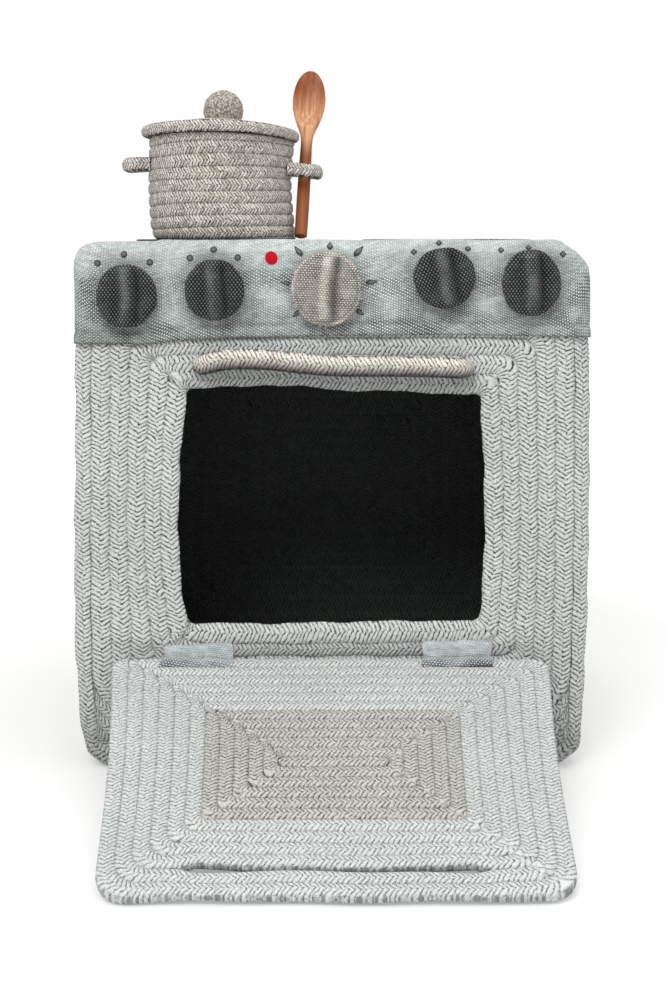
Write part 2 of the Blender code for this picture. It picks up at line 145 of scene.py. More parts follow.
@contextlib.contextmanager
def edit_mode():
    """Edit mode on the active piece, with all of it selected."""
    bpy.ops.object.mode_set(mode="EDIT")
    bpy.ops.mesh.select_all(action="SELECT")
    yield
    bpy.ops.object.mode_set(mode="OBJECT")


def modify(obj, kind, **values):
    """Adds a modifier to a piece and applies it."""
    only(obj)
    modifier = obj.modifiers.new("step", kind)
    for key, value in values.items():
        setattr(modifier, key, value)
    bpy.ops.object.modifier_apply(modifier=modifier.name)


def joined(name, first, *others):
    """Several pieces made one."""
    only(first)
    for other in others:
        other.select_set(True)
    bpy.ops.object.join()
    first.name = name
    return first


def new_object(name, points, faces, look):
    mesh = bpy.data.meshes.new(name)
    mesh.from_pydata([tuple(p) for p in points], [], faces)
    mesh.validate()
    made = bpy.data.objects.new(name, mesh)
    bpy.context.scene.collection.objects.link(made)
    mesh.materials.append(look)
    return made


def grid_faces(rows, columns, closed=True):
    """Quads between neighbouring rows of points; a closed row ends where it starts."""
    pairs = [(j, (j + 1) % columns) for j in range(columns if closed else columns - 1)]
    return [
        (i * columns + j, i * columns + k, (i + 1) * columns + k, (i + 1) * columns + j)
        for i in range(rows - 1)
        for j, k in pairs
    ]


def set_uv(obj, uv, of_corners=False):
    """The piece's one UV map, from a value for each vertex or for each corner of each face."""
    mesh = obj.data
    while mesh.uv_layers:
        mesh.uv_layers.remove(mesh.uv_layers[0])
    layer = mesh.uv_layers.new(name="UVMap")
    uv = np.asarray(uv, np.float32)
    if not of_corners:
        corner_vertex = np.empty(len(mesh.loops), np.int32)
        mesh.loops.foreach_get("vertex_index", corner_vertex)
        uv = uv[corner_vertex]
    layer.data.foreach_set("uv", uv.ravel())


def set_attribute(obj, name, values):
    attribute = obj.data.attributes.new(name, "FLOAT", "POINT")
    attribute.data.foreach_set("value", np.asarray(values, np.float32))


def places(obj):
    """The vertices of a piece as an array, one row for each."""
    co = np.empty(len(obj.data.vertices) * 3, np.float32)
    obj.data.vertices.foreach_get("co", co)
    return co.reshape(-1, 3).astype(float)


def move_to(obj, points):
    obj.data.vertices.foreach_set("co", np.asarray(points, np.float32).ravel())
    obj.data.update()


def face_outwards(obj):
    """Turns the faces out if the closed mesh is inside out."""
    bm = bmesh.new()
    bm.from_mesh(obj.data)
    if bm.calc_volume(signed=True) < 0:
        bmesh.ops.reverse_faces(bm, faces=bm.faces)
    bm.to_mesh(obj.data)
    bm.free()


def box_middle(node):
    low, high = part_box(node)
    return (low + high) / 2


def finish(obj, body, replaced=(), angle=60):
    """Shades a piece smooth, ties it to its body and hides the solids that it stands for."""
    only(obj)
    bpy.ops.object.shade_smooth_by_angle(angle=math.radians(angle))
    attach(obj, body)
    if replaced:
        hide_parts(*replaced)
    print(f"{obj.name}: {len(obj.data.polygons)} faces")
    return obj


# %% Helpers for shaders


def reckon(operation, swapped=False):
    """A method that adds a Math node for two values."""

    def step(self, other):
        return self.wiring.math(operation, *((other, self) if swapped else (self, other)))

    return step


class Wire:
    """An output socket that can be reckoned with."""

    def __init__(self, wiring, socket):
        self.wiring, self.socket = wiring, socket

    def of(self, operation):
        return self.wiring.math(operation, self)

    def __abs__(self):
        return self.of("ABSOLUTE")

    __add__ = __radd__ = reckon("ADD")
    __mul__ = __rmul__ = reckon("MULTIPLY")
    __sub__, __rsub__ = reckon("SUBTRACT"), reckon("SUBTRACT", swapped=True)
    __truediv__ = reckon("DIVIDE")
    __pow__ = reckon("POWER")


class Wiring:
    """Short ways to add and join shader nodes in one tree."""

    def __init__(self, tree):
        self.tree = tree

    def feed(self, socket, value):
        value = value.socket if isinstance(value, Wire) else value
        if isinstance(value, bpy.types.NodeSocket):
            self.tree.links.new(value, socket)
        else:
            socket.default_value = value

    def node(self, kind, given=None, **settings):
        """A new node with its settings, and with its inputs fed by place or by name."""
        made = self.tree.nodes.new(kind)
        for key, value in settings.items():
            setattr(made, key, value)
        for key, value in (given or {}).items():
            self.feed(made.inputs[key], value)
        return made

    def value(self, kind, *inputs, output=0, given=None, **settings):
        """One output of a new node, whose first inputs are given in order."""
        made = self.node(kind, dict(enumerate(inputs)) | (given or {}), **settings)
        return Wire(self, made.outputs[output])

    def math(self, operation, *values, clamp=False):
        return self.value("ShaderNodeMath", *values, operation=operation, use_clamp=clamp)

    def ramp(self, value, low, high, new_low=0.0, new_high=1.0):
        steps = (value, low, high, new_low, new_high)
        return self.value("ShaderNodeMapRange", *steps, interpolation_type="SMOOTHSTEP")

    def noise(self, vector, scale, detail=2.0, rough=0.5, output="Fac"):
        given = {"Vector": vector, "Scale": scale, "Detail": detail, "Roughness": rough}
        return self.value("ShaderNodeTexNoise", output=output, given=given)

    def join(self, x, y, z):
        return self.value("ShaderNodeCombineXYZ", x, y, z)

    def split(self, vector):
        return [Wire(self, socket) for socket in self.node("ShaderNodeSeparateXYZ", {0: vector}).outputs]

    def place(self):
        return self.value("ShaderNodeTexCoord", output="Object")

    def attribute(self, name):
        return self.value("ShaderNodeAttribute", output="Fac", attribute_name=name)

    def tint(self, share, first, second, mode="MIX"):
        given = {"Factor": share, "A": first, "B": second}
        return self.value("ShaderNodeMix", output="Result", given=given, data_type="RGBA", blend_type=mode)

    def shade(self, colour, level):
        """A colour made lighter or darker."""
        return self.tint(1.0, colour, self.join(level, level, level), "MULTIPLY")

    def bump(self, shader, height, distance, strength=1):
        given = {"Strength": strength, "Distance": distance, "Height": height}
        self.feed(shader.inputs["Normal"], self.value("ShaderNodeBump", given=given))


def linear(*channels):
    """A colour given in 8-bit sRGB, as linear light."""
    shares = [c / 255 for c in channels]
    return (*[s / 12.92 if s <= 0.04045 else ((s + 0.055) / 1.055) ** 2.4 for s in shares], 1)


def new_look(name, values):
    """A material, its wiring and its shader, with the shader's plain values set."""
    look = bpy.data.materials.new(name)
    look.use_nodes = True
    shader = look.node_tree.nodes["Principled BSDF"]
    for title, value in values.items():
        shader.inputs[title].default_value = value
    return look, Wiring(look.node_tree), shader


def group_tree(name, colours, numbers):
    """A textile's node group: its wiring, its given values, and the sockets of its result."""
    tree = bpy.data.node_groups.new(name, "ShaderNodeTree")
    kinds = [(title, "NodeSocketColor") for title in colours] + [(title, "NodeSocketFloat") for title in numbers]
    for title, kind in kinds:
        tree.interface.new_socket(name=title, in_out="INPUT", socket_type=kind)
    for title, kind in (("Colour", "NodeSocketColor"), ("Height", "NodeSocketFloat")):
        tree.interface.new_socket(name=title, in_out="OUTPUT", socket_type=kind)
    w = Wiring(tree)
    given = {socket.name: Wire(w, socket) for socket in w.node("NodeGroupInput").outputs}
    return w, given, w.node("NodeGroupOutput").inputs


def cloth_material(name, tree, values, relief, rough=0.92, sheen=0.12):
    """A matt textile: a group gives its colour and height, and the shader does the rest."""
    matt = {"Roughness": rough, "Specular IOR Level": 0.15, "Sheen Weight": sheen, "Sheen Roughness": 0.6}
    look, w, shader = new_look(name, matt)
    part = w.node("ShaderNodeGroup", values, node_tree=tree)
    w.feed(shader.inputs["Base Color"], part.outputs["Colour"])
    w.bump(shader, part.outputs["Height"], relief)
    return look


print("a middle grey as linear light:", round(linear(128, 128, 128)[0], 3))


# %% [markdown]
# ## Camera
#
# The verticals of the photographed oven stay parallel, so the camera looked almost straight ahead, at
# the height of the hob, and the frame was cropped afterwards. A slight tilt and a small lens shift give
# the same picture.

# %% Camera
eye = Vector((0, -1.277, 0.390))
camera_tilt = math.radians(4.0)
camera_data = bpy.data.cameras.new("camera")
camera_data.lens = 55.44
camera_data.sensor_width = 36
camera_data.shift_y = -0.1445
camera = bpy.data.objects.new("camera", camera_data)
bpy.context.scene.collection.objects.link(camera)
camera.location = eye
camera.rotation_euler = (math.radians(90) - camera_tilt, 0, 0)
bpy.context.scene.camera = camera
bpy.context.scene.view_settings.view_transform = "Standard"
print("camera at", tuple(round(c, 3) for c in eye))


# %% [markdown]
# ## Light and floor
#
# The picture was lit softly from everywhere, with a little more from above and in front. A pale world
# gives most of the light, and one large lamp above the camera gives the ropes their shading. The floor
# and the world look white to the camera, but light the object only at a plain level.

# %% Light and floor
world_level = 0.62
white = (1, 1, 1, 1)


def white_to_camera(tree, output, shader, bright):
    """Gives a tree its shader, and a bright one for the rays that the eye, gloss or glass sees."""
    w = Wiring(tree)
    path = w.node("ShaderNodeLightPath").outputs
    mirrored = w.math("MAXIMUM", path["Is Glossy Ray"], path["Is Transmission Ray"])
    seen = w.math("MAXIMUM", path["Is Camera Ray"], mirrored)
    w.feed(tree.nodes[output].inputs[0], w.value("ShaderNodeMixShader", seen, shader, bright))


world = bpy.data.worlds.new("soft_light")
bpy.context.scene.world = world
world.use_nodes = True
w = Wiring(world.node_tree)
room, bright = (w.value("ShaderNodeBackground", white, level) for level in (world_level, 1))
white_to_camera(world.node_tree, "World Output", room, bright)


def add_lamp(name, place, aim, size, watts):
    data = bpy.data.lights.new(name, "AREA")
    data.shape = "DISK"
    data.size = size
    data.energy = watts
    lamp = bpy.data.objects.new(name, data)
    bpy.context.scene.collection.objects.link(lamp)
    lamp.location = place
    lamp.rotation_euler = (Vector(aim) - Vector(place)).to_track_quat("-Z", "Y").to_euler()


add_lamp("front_lamp", (-0.5, -1.9, 1.9), (0, 0, 0.2), 1.2, 22)
add_lamp("top_lamp", (0.3, -0.3, 2.2), (0, 0, 0.2), 1.4, 10)

floor = primitive(bpy.ops.mesh.primitive_plane_add, "floor", size=8)
floor_look, w, shader = new_look("floor_paint", {"Base Color": (0.80, 0.80, 0.79, 1), "Roughness": 0.9})
# For the rays that the eye sees, a glow is added that grows away from the object
far = w.value("ShaderNodeVectorMath", w.place(), output="Value", operation="LENGTH")
glow = w.value("ShaderNodeEmission", white, w.value("ShaderNodeMapRange", far, 0.45, 2.2, 0.30, 1.0))
both = w.value("ShaderNodeAddShader", shader.outputs[0], glow)
white_to_camera(floor_look.node_tree, "Material Output", shader.outputs[0], both)
floor.data.materials.append(floor_look)
print("world level", world_level)


# %% [markdown]
# ## The braid
#
# Seen from close by, the cord is a braid: two sets of strands that meet in a row of Vs along its crest.
# Modelling every strand of some seventy metres of rope would take millions of faces, so the V is drawn
# in the material. The rope's mesh carries its length in metres as U, and the place across it, from -1
# to 1, as V. A wave in U that is delayed towards both sides makes the Vs, a finer wave makes the yarns
# in each strand, and the same height feeds the bump and the painted shade in the creases.

# %% The braid as a shader group


def braid_group():
    colours = ("Colour", "Crease Colour", "Deep Colour", "Fleck Colour")
    w, given, result = group_tree("braid", colours, ("Fleck", "Pitch", "Slant", "Crease"))
    along, across, _ = w.split(w.value("ShaderNodeUVMap", uv_map="UVMap"))
    place = w.place()
    # A slow wander of the V's middle and of its spacing
    middle = (w.noise(w.join(along, 0.0, 0.0), 90, 3) - 0.5) * 0.9 + across
    sharp = (middle * middle + 0.02).of("SQRT")
    arm = (middle * math.pi).of("COSINE") * -0.08 + sharp * 0.72
    uneven = w.noise(w.join(along, across * 0.005, 0.3), 190, 3, 0.6) - 0.5
    delayed = arm * (given["Slant"] * w.attribute("lay")) + along + uneven * 0.0032
    # The arms of a V come from two strands, so one starts half a strand behind the other
    turns = w.ramp(middle, -0.10, 0.10) * 0.45 + delayed / given["Pitch"]
    hump = (turns.of("FRACT") * math.pi).of("SINE")
    # Every strand dips under its neighbour at both ends of its arm
    strand_place = w.join(turns.of("FLOOR"), middle.of("SIGN"), 0.0)
    number = w.value("ShaderNodeTexWhiteNoise", strand_place, noise_dimensions="2D")
    tip = w.ramp(abs(middle), 0.0, 0.16) * 0.25 + 0.75
    edge = w.ramp(number * 0.16 + abs(across), 0.88, 1.05, 1.0, 0.45)
    strand = hump**0.7 * (edge * tip)
    # Yarns within each strand run along it, and short fibres roughen them
    yarn = (turns * (math.tau * 3)).of("SINE")
    fuzz = w.noise(place, 1000, 3, 0.7)
    height = fuzz * 0.6 + (yarn * 0.07 + strand)
    # The gaps between strands get painted shade: soft and grey, and here and there deep and dark
    patch = w.noise(w.join(along, across * 0.006, 0.9), 560, 3, 0.65)
    gap = w.ramp((fuzz - 0.5) * 1.1 + strand, 0.16, 0.86, 1.0, 0.0) * w.ramp(patch, 0.38, 0.60, 0.16, 1.0)
    gap = gap * w.ramp(abs(middle), 0.35, 1.0, 1.0, 0.72)
    gap = w.math("MULTIPLY", gap, given["Crease"], clamp=True)
    deep = w.ramp(strand, 0.10, 0.74, 1.0, 0.0) * w.ramp(patch, 0.46, 0.59)
    # Where two rows meet, a few strands leave a hole, painted dark as shade
    spots = w.noise(w.join(along, across * 0.004, 3.3), 330, 1)
    hole = w.ramp(abs(across), 0.62, 0.92) * w.ramp(spots, 0.49, 0.60)
    deep = w.math("MULTIPLY", w.math("MAXIMUM", deep, hole * 0.9), given["Crease"], clamp=True)
    # Each strand has its own tone, and single dyed fibres fleck it
    fleck = w.noise(w.join(turns * 0.9, across * 2.2, 0.5), 3.2, 3, 0.7)
    fleck = w.ramp(number * 0.22 + fleck, 0.52, 0.78) * given["Fleck"]
    colour = w.tint(fleck, given["Colour"], given["Fleck Colour"])
    colour = w.tint(gap, colour, given["Crease Colour"])
    colour = w.tint(deep, colour, given["Deep Colour"])
    shade = w.ramp(w.noise(place, 14, 2), 0.3, 0.7, 0.96, 1.03) * w.ramp(fuzz, 0.3, 0.7, 0.76, 1.18)
    # Single strands catch the light along their crests
    crest = w.ramp(hump, 0.80, 1.0) * w.ramp(number, 0.45, 0.95)
    # Each piece's painted light and shade, and any tone of its own, come in through an attribute
    shade = (crest * 0.14 + shade) * (w.attribute("painted_shade_and_tone") + 1.0)
    w.feed(result["Colour"], w.shade(colour, shade))
    w.feed(result["Height"], height - deep * 0.5)
    return w.tree


braid = braid_group()


def rope_material(name, colour, crease, deep, fleck_colour, fleck, crease_depth, pitch=0.0034):
    values = {"Fleck": fleck, "Pitch": pitch, "Slant": 1.55 * pitch, "Crease": crease_depth}
    values |= {"Colour": linear(*colour), "Crease Colour": linear(*crease)}
    values |= {"Deep Colour": linear(*deep), "Fleck Colour": linear(*fleck_colour)}
    return cloth_material(name, braid, values, relief=0.0009)


# Each rope: its colours (itself, the painted shade of its creases, the darker painted shade of its deep creases,
# its flecks), how flecked and how creased it is, and for the finer ones the length of a V
ropes = {
    "light_rope": ((238, 241, 238), (92, 97, 94), (34, 39, 36), (198, 202, 200), 0.45, 1.05),
    "dark_rope": ((88, 94, 89), (40, 44, 41), (20, 22, 20), (104, 109, 104), 0.3, 0.9),
    "door_rope": ((237, 241, 239), (152, 156, 154), (76, 80, 78), (216, 220, 218), 0.4, 0.68),
    "window_rope": ((224, 223, 216), (112, 108, 101), (50, 47, 43), (186, 182, 174), 0.5, 0.92),
    "warm_rope": ((246, 242, 234), (118, 102, 88), (48, 38, 30), (202, 184, 166), 0.65, 1.0, 0.0032),
    "pot_rope": ((250, 243, 233), (72, 64, 57), (32, 27, 23), (158, 147, 137), 0.8, 1.25, 0.0026),
}
ropes = {name: rope_material(name, *values) for name, values in ropes.items()}
print("rope materials:", *ropes)


# %% [markdown]
# ## Laying rope
#
# A row of rope is a tube with a flattened oval section. It could be a curve with a bevel, but then every
# row would be equally wide, and gaps would open at corners. Here a row fills the strip between its two
# borders instead, as sewn rope does: at each step along the way the tube reaches from one border to the
# other, and stands up along the surface's normal.
#
# A coil is one unbroken rope. It keeps to its row for most of a round, then steps over to the next row
# in a short stretch, as a sewer does. It starts and ends as a thin point.

# %% Rope rows and coils
one_sided = (0, 30, 60, 90, 120, 150, 180, 225, 270, 315)
two_sided = tuple(range(0, 360, 30))


def section(degrees, power):
    """Across and up, each from -1 to 1, of the points round a flattened rope."""
    c, s = np.cos(np.radians(degrees)), np.sin(np.radians(degrees))
    return np.stack([c, s], 1) * ((abs(c) ** power + abs(s) ** power) ** (-1 / power))[:, None]


def lay_along(points, down=(0, 0, -1)):
    """Which way the Vs point: to the right in level rows, and down in upright ones."""
    return np.tanh(12 * (directions(np.gradient(points, axis=0)) @ (np.array([1.0, 0, 0]) + down)))


def rope_mesh(name, low, high, out, thickness, rope, seed, lay=None, sides=one_sided, power=3.6, overlap=1.12):
    """A tube between two borders, which are arrays of points; out is the normal, for all or for each."""
    centre = (low + high) / 2
    across = (high - low) / 2 * overlap
    along = run_along(centre)
    path = directions(np.gradient(centre, axis=0))
    # Only the width that stands square to the path lifts the rope, so a wedge thins out to nothing
    width = np.linalg.norm(across - path * (across * path).sum(1)[:, None], axis=1)
    lift = np.minimum(1, (width / (0.8 * thickness)) ** 0.7) * thickness / 2
    lift = lift * (1 + 0.05 * drift(along, 0.03, seed))
    shape = section(sides, power)
    out = np.broadcast_to(np.asarray(out, float), centre.shape) * lift[:, None]
    points = centre[:, None] + across[:, None] * shape[None, :, :1] + out[:, None] * (shape[None, :, 1:] - 1)
    count, wide = len(centre), len(shape)
    faces = [(a, d, c, b) for a, b, c, d in grid_faces(count, wide)]
    faces += [tuple(range(wide)), tuple(reversed(range((count - 1) * wide, count * wide)))]
    made = new_object(name, points.reshape(-1, 3), faces, ropes[rope])
    # Where the borders run ahead of each other, the length is measured square to the path
    place = along[:, None] + (across * path).sum(1)[:, None] * shape[None, :, 0]
    set_uv(made, np.stack(np.broadcast_arrays(place, np.cos(np.radians(sides))[None]), -1).reshape(-1, 2))
    lay = lay_along(low) if lay is None else np.broadcast_to(lay, count)
    set_attribute(made, "lay", np.repeat(lay, wide))
    face_outwards(made)
    return made


def coil_rows(rows, per_round, step_share=0.06, shift=0.0):
    """Turn, inner row and outer row of a coil that steps over as its turn reaches shift."""
    place = np.arange(-step_share, rows, 1 / per_round)
    place = np.append(place[place < rows - 1e-6], rows)
    whole = np.floor(place + 1e-9)
    stair = whole + eased(unit((place - whole - 1 + step_share) / step_share))
    return place + shift, np.clip(stair, 0, rows), np.clip(stair + 1, 0, rows)


def side_shares(level, corner):
    """The turn at which each side and corner of a rounded rectangle starts."""
    rise = 0.5 - level - 2 * corner
    return np.cumsum([0, level / 2, corner, rise, corner, level, corner, rise, corner, level / 2])


def round_box(turn, half, low, high, radius, high_radius=None, knots=side_shares(0.21, 0.055)):
    """Points (x, z) and outward normals of a rounded rectangle, from the middle of its low side."""
    turn = np.mod(turn, 1)
    half, low, high, radius, high_radius = (
        np.broadcast_to(v, turn.shape).astype(float)
        for v in (half, low, high, radius, radius if high_radius is None else high_radius)
    )
    limit = np.minimum(half, (high - low) / 2)
    radius, high_radius = np.minimum(radius, limit), np.minimum(high_radius, limit)
    bottom, top = low + radius, high - high_radius
    part = np.clip(np.searchsorted(knots, turn, side="right") - 1, 0, 8)
    share = (turn - knots[part]) / (knots[part + 1] - knots[part])
    radius = np.where((part >= 3) & (part <= 5), high_radius, radius)
    run, rise, bend = half - radius, (top - bottom) * share, 90 * share
    # Nine parts: half the low side, then corner, side, corner, high side and so on, and the other half
    angle = np.radians(np.choose(part, [-90, bend - 90, 0, bend, 90, 90 + bend, 180, 180 + bend, 270]))
    x = np.choose(part, [run * share, run, run, run, run * (1 - 2 * share), -run, -run, -run, run * (share - 1)])
    z = np.choose(part, [bottom, bottom, bottom + rise, top, top, top, top - rise, bottom, bottom])
    normal = np.stack([np.cos(angle), np.sin(angle)], 1)
    return np.stack([x, z], 1) + normal * radius[:, None], normal


def upright(flat, y):
    """Points (x, z) stood up at depth y."""
    return stacked(flat[:, 0], y, flat[:, 1])


print("points round a rope:", len(one_sided), "or", len(two_sided))


# %% [markdown]
# ## The oven's face
#
# Five rows of rope run round the mouth. The first is rolled over its edge, and stands out a little.
# The face is taller than it is wide, so a few short rows fill the strips above and below the rings and
# thin out in the corners. The last ring round the outline belongs to the coil of the walls, below.

# %% Sizes that the face and the walls share
row_pitch, rope_thickness = 0.013, 0.0115
half_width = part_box("basket_wall")[1].x
basket_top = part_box("back_panel")[1].z
face_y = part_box("front_panel")[0].y
back_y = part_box("back_panel")[1].y
outline_corner, low_corner = 0.033, 0.026
mouth_half, mouth_low, mouth_high, mouth_corner = 0.1069, 0.1128, 0.2853, 0.0045
ring_rows, ring_samples, corner_growth = 5, 176, 0.22
side_pitch = (half_width - row_pitch - mouth_half) / ring_rows
# A coil steps over to its next row in the lower left corner, where it shows least
corner_shift = -0.09
forward = np.array([0, -1.0, 0])

# How the mouth's upper edge waves, and how far each side leans in at a height
over_places = (-0.109, -0.087, -0.068, -0.047, -0.025, -0.003, 0.049, 0.078, 0.1)
over_lifts = (0.0020, 0.0033, 0.0022, 0.0040, 0.0033, 0.0002, -0.0007, -0.0021, -0.0050)
lean_heights = (0, 0.003, 0.008, 0.017, 0.032, 0.0485, 0.0675, 0.10, 0.13, 0.18, 0.22, 0.35, 0.39)
left_leans = (0.0005, 0.0005, 0.0013, 0.0026, 0.0023, 0.0006, -0.0002, -0.0016, -0.0009, -0.0009, 0, 0, 0)
right_leans = (
    0.0066, 0.0068, 0.0072, 0.0063, 0.0048, 0.0046, 0.0044, 0.0030, 0.0028, 0.0022, 0.0018, 0.0018, 0.0010
)
# Nothing is quite straight: the lengths of two waves up the sides and of two along the rows
sideways_waves, upward_waves = (0.0083, 0.006, 0.0041, 0.0047), (0.0089, 0.007, 0.0043, 0.0051)


def uneven(first, second, waves):
    slow = np.sin(first / waves[0] + second / waves[1])
    return 0.0005 * slow + 0.0003 * np.sin(first / waves[2] - second / waves[3])


def soft_face(points):
    """The sewn face isn't true: its sides lean and swell, and the mouth bows out and sags."""
    x, z = points[:, 0].copy(), points[:, 2].copy()
    outward = np.sign(x) * unit(np.abs(x) / 0.19) ** 4
    lean = np.where(x < 0, np.interp(z, lean_heights, left_leans), np.interp(z, lean_heights, right_leans))
    points[:, 0] -= lean * outward * unit(np.abs(x) / 0.19)
    # The first row below the mouth is the widest
    points[:, 2] -= 0.0026 * bell(z, mouth_low - row_pitch, 0.007) * bell(x, 0, 0.12, 8) * (points[:, 1] < -0.13)
    front = bell(points[:, 1], -0.142, 0.016) * unit((0.33 - z) / 0.02)
    points[:, 0] += (0.0016 * bell(z, 0.15, 0.12) + 0.0022 * front) * outward
    near = unit(1 - (np.abs(x) - mouth_half) / (ring_rows * row_pitch))
    level = unit((z - mouth_low) / (mouth_high - mouth_low))
    bow = np.sin(math.pi * level**0.8) ** 0.8 * near * unit(np.abs(x) / mouth_half) ** 4
    points[:, 0] += np.where(x < 0, -0.0072, 0.0044) * bow
    over = bell(z, mouth_high, 0.016) * bell(x, 0, 0.112, 8)
    points[:, 2] += over * np.interp(x, over_places, over_lifts)
    points[:, 2] += bell(z, mouth_low, 0.016) * bell(x, 0, 0.11, 4) * 0.0012 * np.sin(x / 0.05)
    # The lower corners are the least straight; under the cloth and on the floor the rows stay put
    free = unit((0.318 - z) / 0.01)
    lumpy = free * (1 + 1.1 * bell(np.abs(x), 0.19, 0.03) * bell(z, 0, 0.04))
    points[:, 0] += lumpy * uneven(z, x, sideways_waves)
    points[:, 2] += unit(z / 0.012) * lumpy * uneven(x, z, upward_waves)
    return points


def face_shade_and_darkening(points):
    """Painted shade on the row over the mouth, in the handle's shadow, and on the rows under it; the rope is also
    darker in the lower corners and along the bottom.
    """
    x, y, z = points.T
    front = unit((-y - 0.13) / 0.01)
    over_mouth = -0.36 * bell(z, mouth_high + 0.006, 0.0085, 4) * bell(x, 0, 0.112, 12)
    under_rows = -0.26 * bell(z, mouth_low - 1.5 * row_pitch, 0.0075, 4) * bell(x, 0, 0.165, 10)
    corners = -0.22 * bell(np.abs(x), 0.19, 0.045) * bell(z, 0, 0.05)
    low = -0.14 * bell(z, 0, 0.03) - 0.25 * bell(z, 0.024, 0.003) * bell(np.abs(x), 0.172, 0.014)
    return front * (over_mouth + under_rows) + corners + low


def mouth_border(turn, row):
    out = row * row_pitch
    half, radius = mouth_half + row * side_pitch, mouth_corner + corner_growth * out
    return upright(round_box(turn, half, mouth_low - out, mouth_high + out, radius)[0], face_y)


def soften_piece(obj):
    # The attribute holds the painted shade and the darker lower corners and bottom
    set_attribute(obj, "painted_shade_and_tone", face_shade_and_darkening(places(obj)))
    move_to(obj, soft_face(places(obj)))


print("rings round the mouth:", ring_rows, "of", round(1000 * side_pitch, 1), "mm at the sides")


# %% The rings round the mouth
turn, inner_row, outer_row = coil_rows(ring_rows, ring_samples, 0.05, corner_shift)
low, high = mouth_border(turn, inner_row), mouth_border(turn, outer_row)
rolled = unit(1 - inner_row)[:, None]
out = directions(forward + 0.35 * rolled * directions(low - high))
low, high = (border + 0.0012 * rolled * forward for border in (low, high))
face_coil = rope_mesh("face_coil", low, high, out, rope_thickness, "light_rope", 1)
soften_piece(face_coil)
print("the face's coil ends", round(float(turn[-1]), 2), "turns from the middle of its low side")

# %% The short rows above and below the rings
short_rows = {"below": (3, -0.31, 0.31), "above": (2, 0.19, 0.81)}
filler = []
for name, (rows, first_turn, last_turn) in short_rows.items():
    turn = np.linspace(first_turn, last_turn, 90)
    ring = mouth_border(turn, ring_rows)
    outline, _ = round_box(
        turn, half_width - row_pitch, row_pitch, basket_top - row_pitch,
        low_corner - 0.5 * row_pitch, outline_corner - 0.8 * row_pitch,
    )
    step = (upright(outline, face_y) - ring) / rows
    for row in range(rows):
        low = ring + step * row
        filler.append(rope_mesh(f"{name}_{row}", low, low + step, forward, rope_thickness, "light_rope", 5 + row))
face_rows = joined("face_short_rows", *filler)
soften_piece(face_rows)
finish(face_coil, "kitchen", ["front_panel"])
finish(face_rows, "kitchen")


# %% [markdown]
# ## Walls and back
#
# One coil goes on from the edge of the face: round the edge, along the walls in upright rounds, round
# the far edge and in to the middle of the back. Its route is measured along the basket's side view, so
# every row is equally wide. Where it meets the floor it is pressed flat.

# %% The coil of walls and back
edge_radius, wall_pitch = 0.010, 0.01305
floor_gap = 0.0002
quarter = edge_radius * math.pi / 2
wall_run = back_y - face_y - 2 * edge_radius
# Where the face, its edge, the wall and the far edge end
marks = np.cumsum([row_pitch - edge_radius, quarter, wall_run, quarter])


def side_route(place):
    """Inset, depth and tilt of the surface, at a length along the basket's side view."""
    parts = [place < mark for mark in marks]
    first, second, plain = (place - marks[0]) / edge_radius, (place - marks[2]) / edge_radius, 0 * place
    inset = [row_pitch - place, edge_radius * (1 - np.sin(first)), plain, edge_radius * (1 - np.cos(second))]
    depth = [
        plain, edge_radius * (1 - np.cos(first)), edge_radius + place - marks[1],
        edge_radius + wall_run + edge_radius * np.sin(second),
    ]
    tilt = [plain - math.pi / 2, first - math.pi / 2, plain, second]
    return (
        np.select(parts, inset, edge_radius + place - marks[3]),
        face_y + np.select(parts, depth, back_y - face_y),
        np.select(parts, tilt, math.pi / 2),
    )


def wall_border(turn, place):
    inset, y, tilt = side_route(place)
    # The last row closes the middle of the back
    inset = np.minimum(inset, half_width - 0.0006)
    low_radius = np.maximum(low_corner - 0.07 * inset, 0.004)
    high_radius = np.maximum(outline_corner - 0.1 * inset, 0.004)
    flat, normal = round_box(turn, half_width - inset, inset, basket_top - inset, low_radius, high_radius)
    return upright(flat, y), upright(normal * np.cos(tilt)[:, None], np.sin(tilt))


wall_rows = math.ceil((marks[3] + half_width - edge_radius) / wall_pitch)
turn, inner_row, outer_row = coil_rows(wall_rows, ring_samples)
low, high = (wall_border(turn, row * wall_pitch)[0] for row in (inner_row, outer_row))
_, out = wall_border(turn, (inner_row + outer_row) / 2 * wall_pitch)
wall_coil = rope_mesh("wall_coil", low, high, out, rope_thickness, "light_rope", 2)
soften_piece(wall_coil)
shape = places(wall_coil)
shape[:, 2] = np.maximum(shape[:, 2], floor_gap)
move_to(wall_coil, shape)
finish(wall_coil, "kitchen", ["basket_wall", "back_panel"])


# %% [markdown]
# ## The dark inside
#
# Behind the mouth the basket is nearly black. Only the back shows: flat rings of dark rope round a
# middle that sits a little low. The same coil then comes forward along the inner walls.

# %% The dark lining
lining_low, lining_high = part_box("oven_lining")
lining_thickness = 0.006
inner_half, inner_back, inner_top = (side - lining_thickness for side in lining_high)
inner_bottom = lining_low.z + lining_thickness
coil_middle, back_rows = 0.177, 12
forward_rows = int((inner_back - lining_low.y) / row_pitch)


def lining_border(turn, row):
    share = unit(row / back_rows)
    low = coil_middle - (coil_middle - inner_bottom) * (0.83 * share + 0.17 * share**4)
    high = coil_middle + (inner_top - coil_middle) * (0.67 * share + 0.33 * share**3)
    flat, normal = round_box(turn, inner_half * share, low, high, 0.002 + 0.012 * share)
    tilt = unit(row - back_rows + 0.5)[:, None]
    out = directions(forward * (1 - tilt) + upright(-normal, 0) * tilt)
    return upright(flat, inner_back - np.maximum(row - back_rows, 0) * row_pitch), out


turn, inner_row, outer_row = coil_rows(back_rows + forward_rows, 84, 0.05, corner_shift)
low, high = (lining_border(turn, row)[0] for row in (inner_row, outer_row))
_, out = lining_border(turn, (inner_row + outer_row) / 2)
lining = rope_mesh("lining_coil", low, high, out, 0.0055, "dark_rope", 3)
finish(lining, "kitchen", ["oven_lining"])


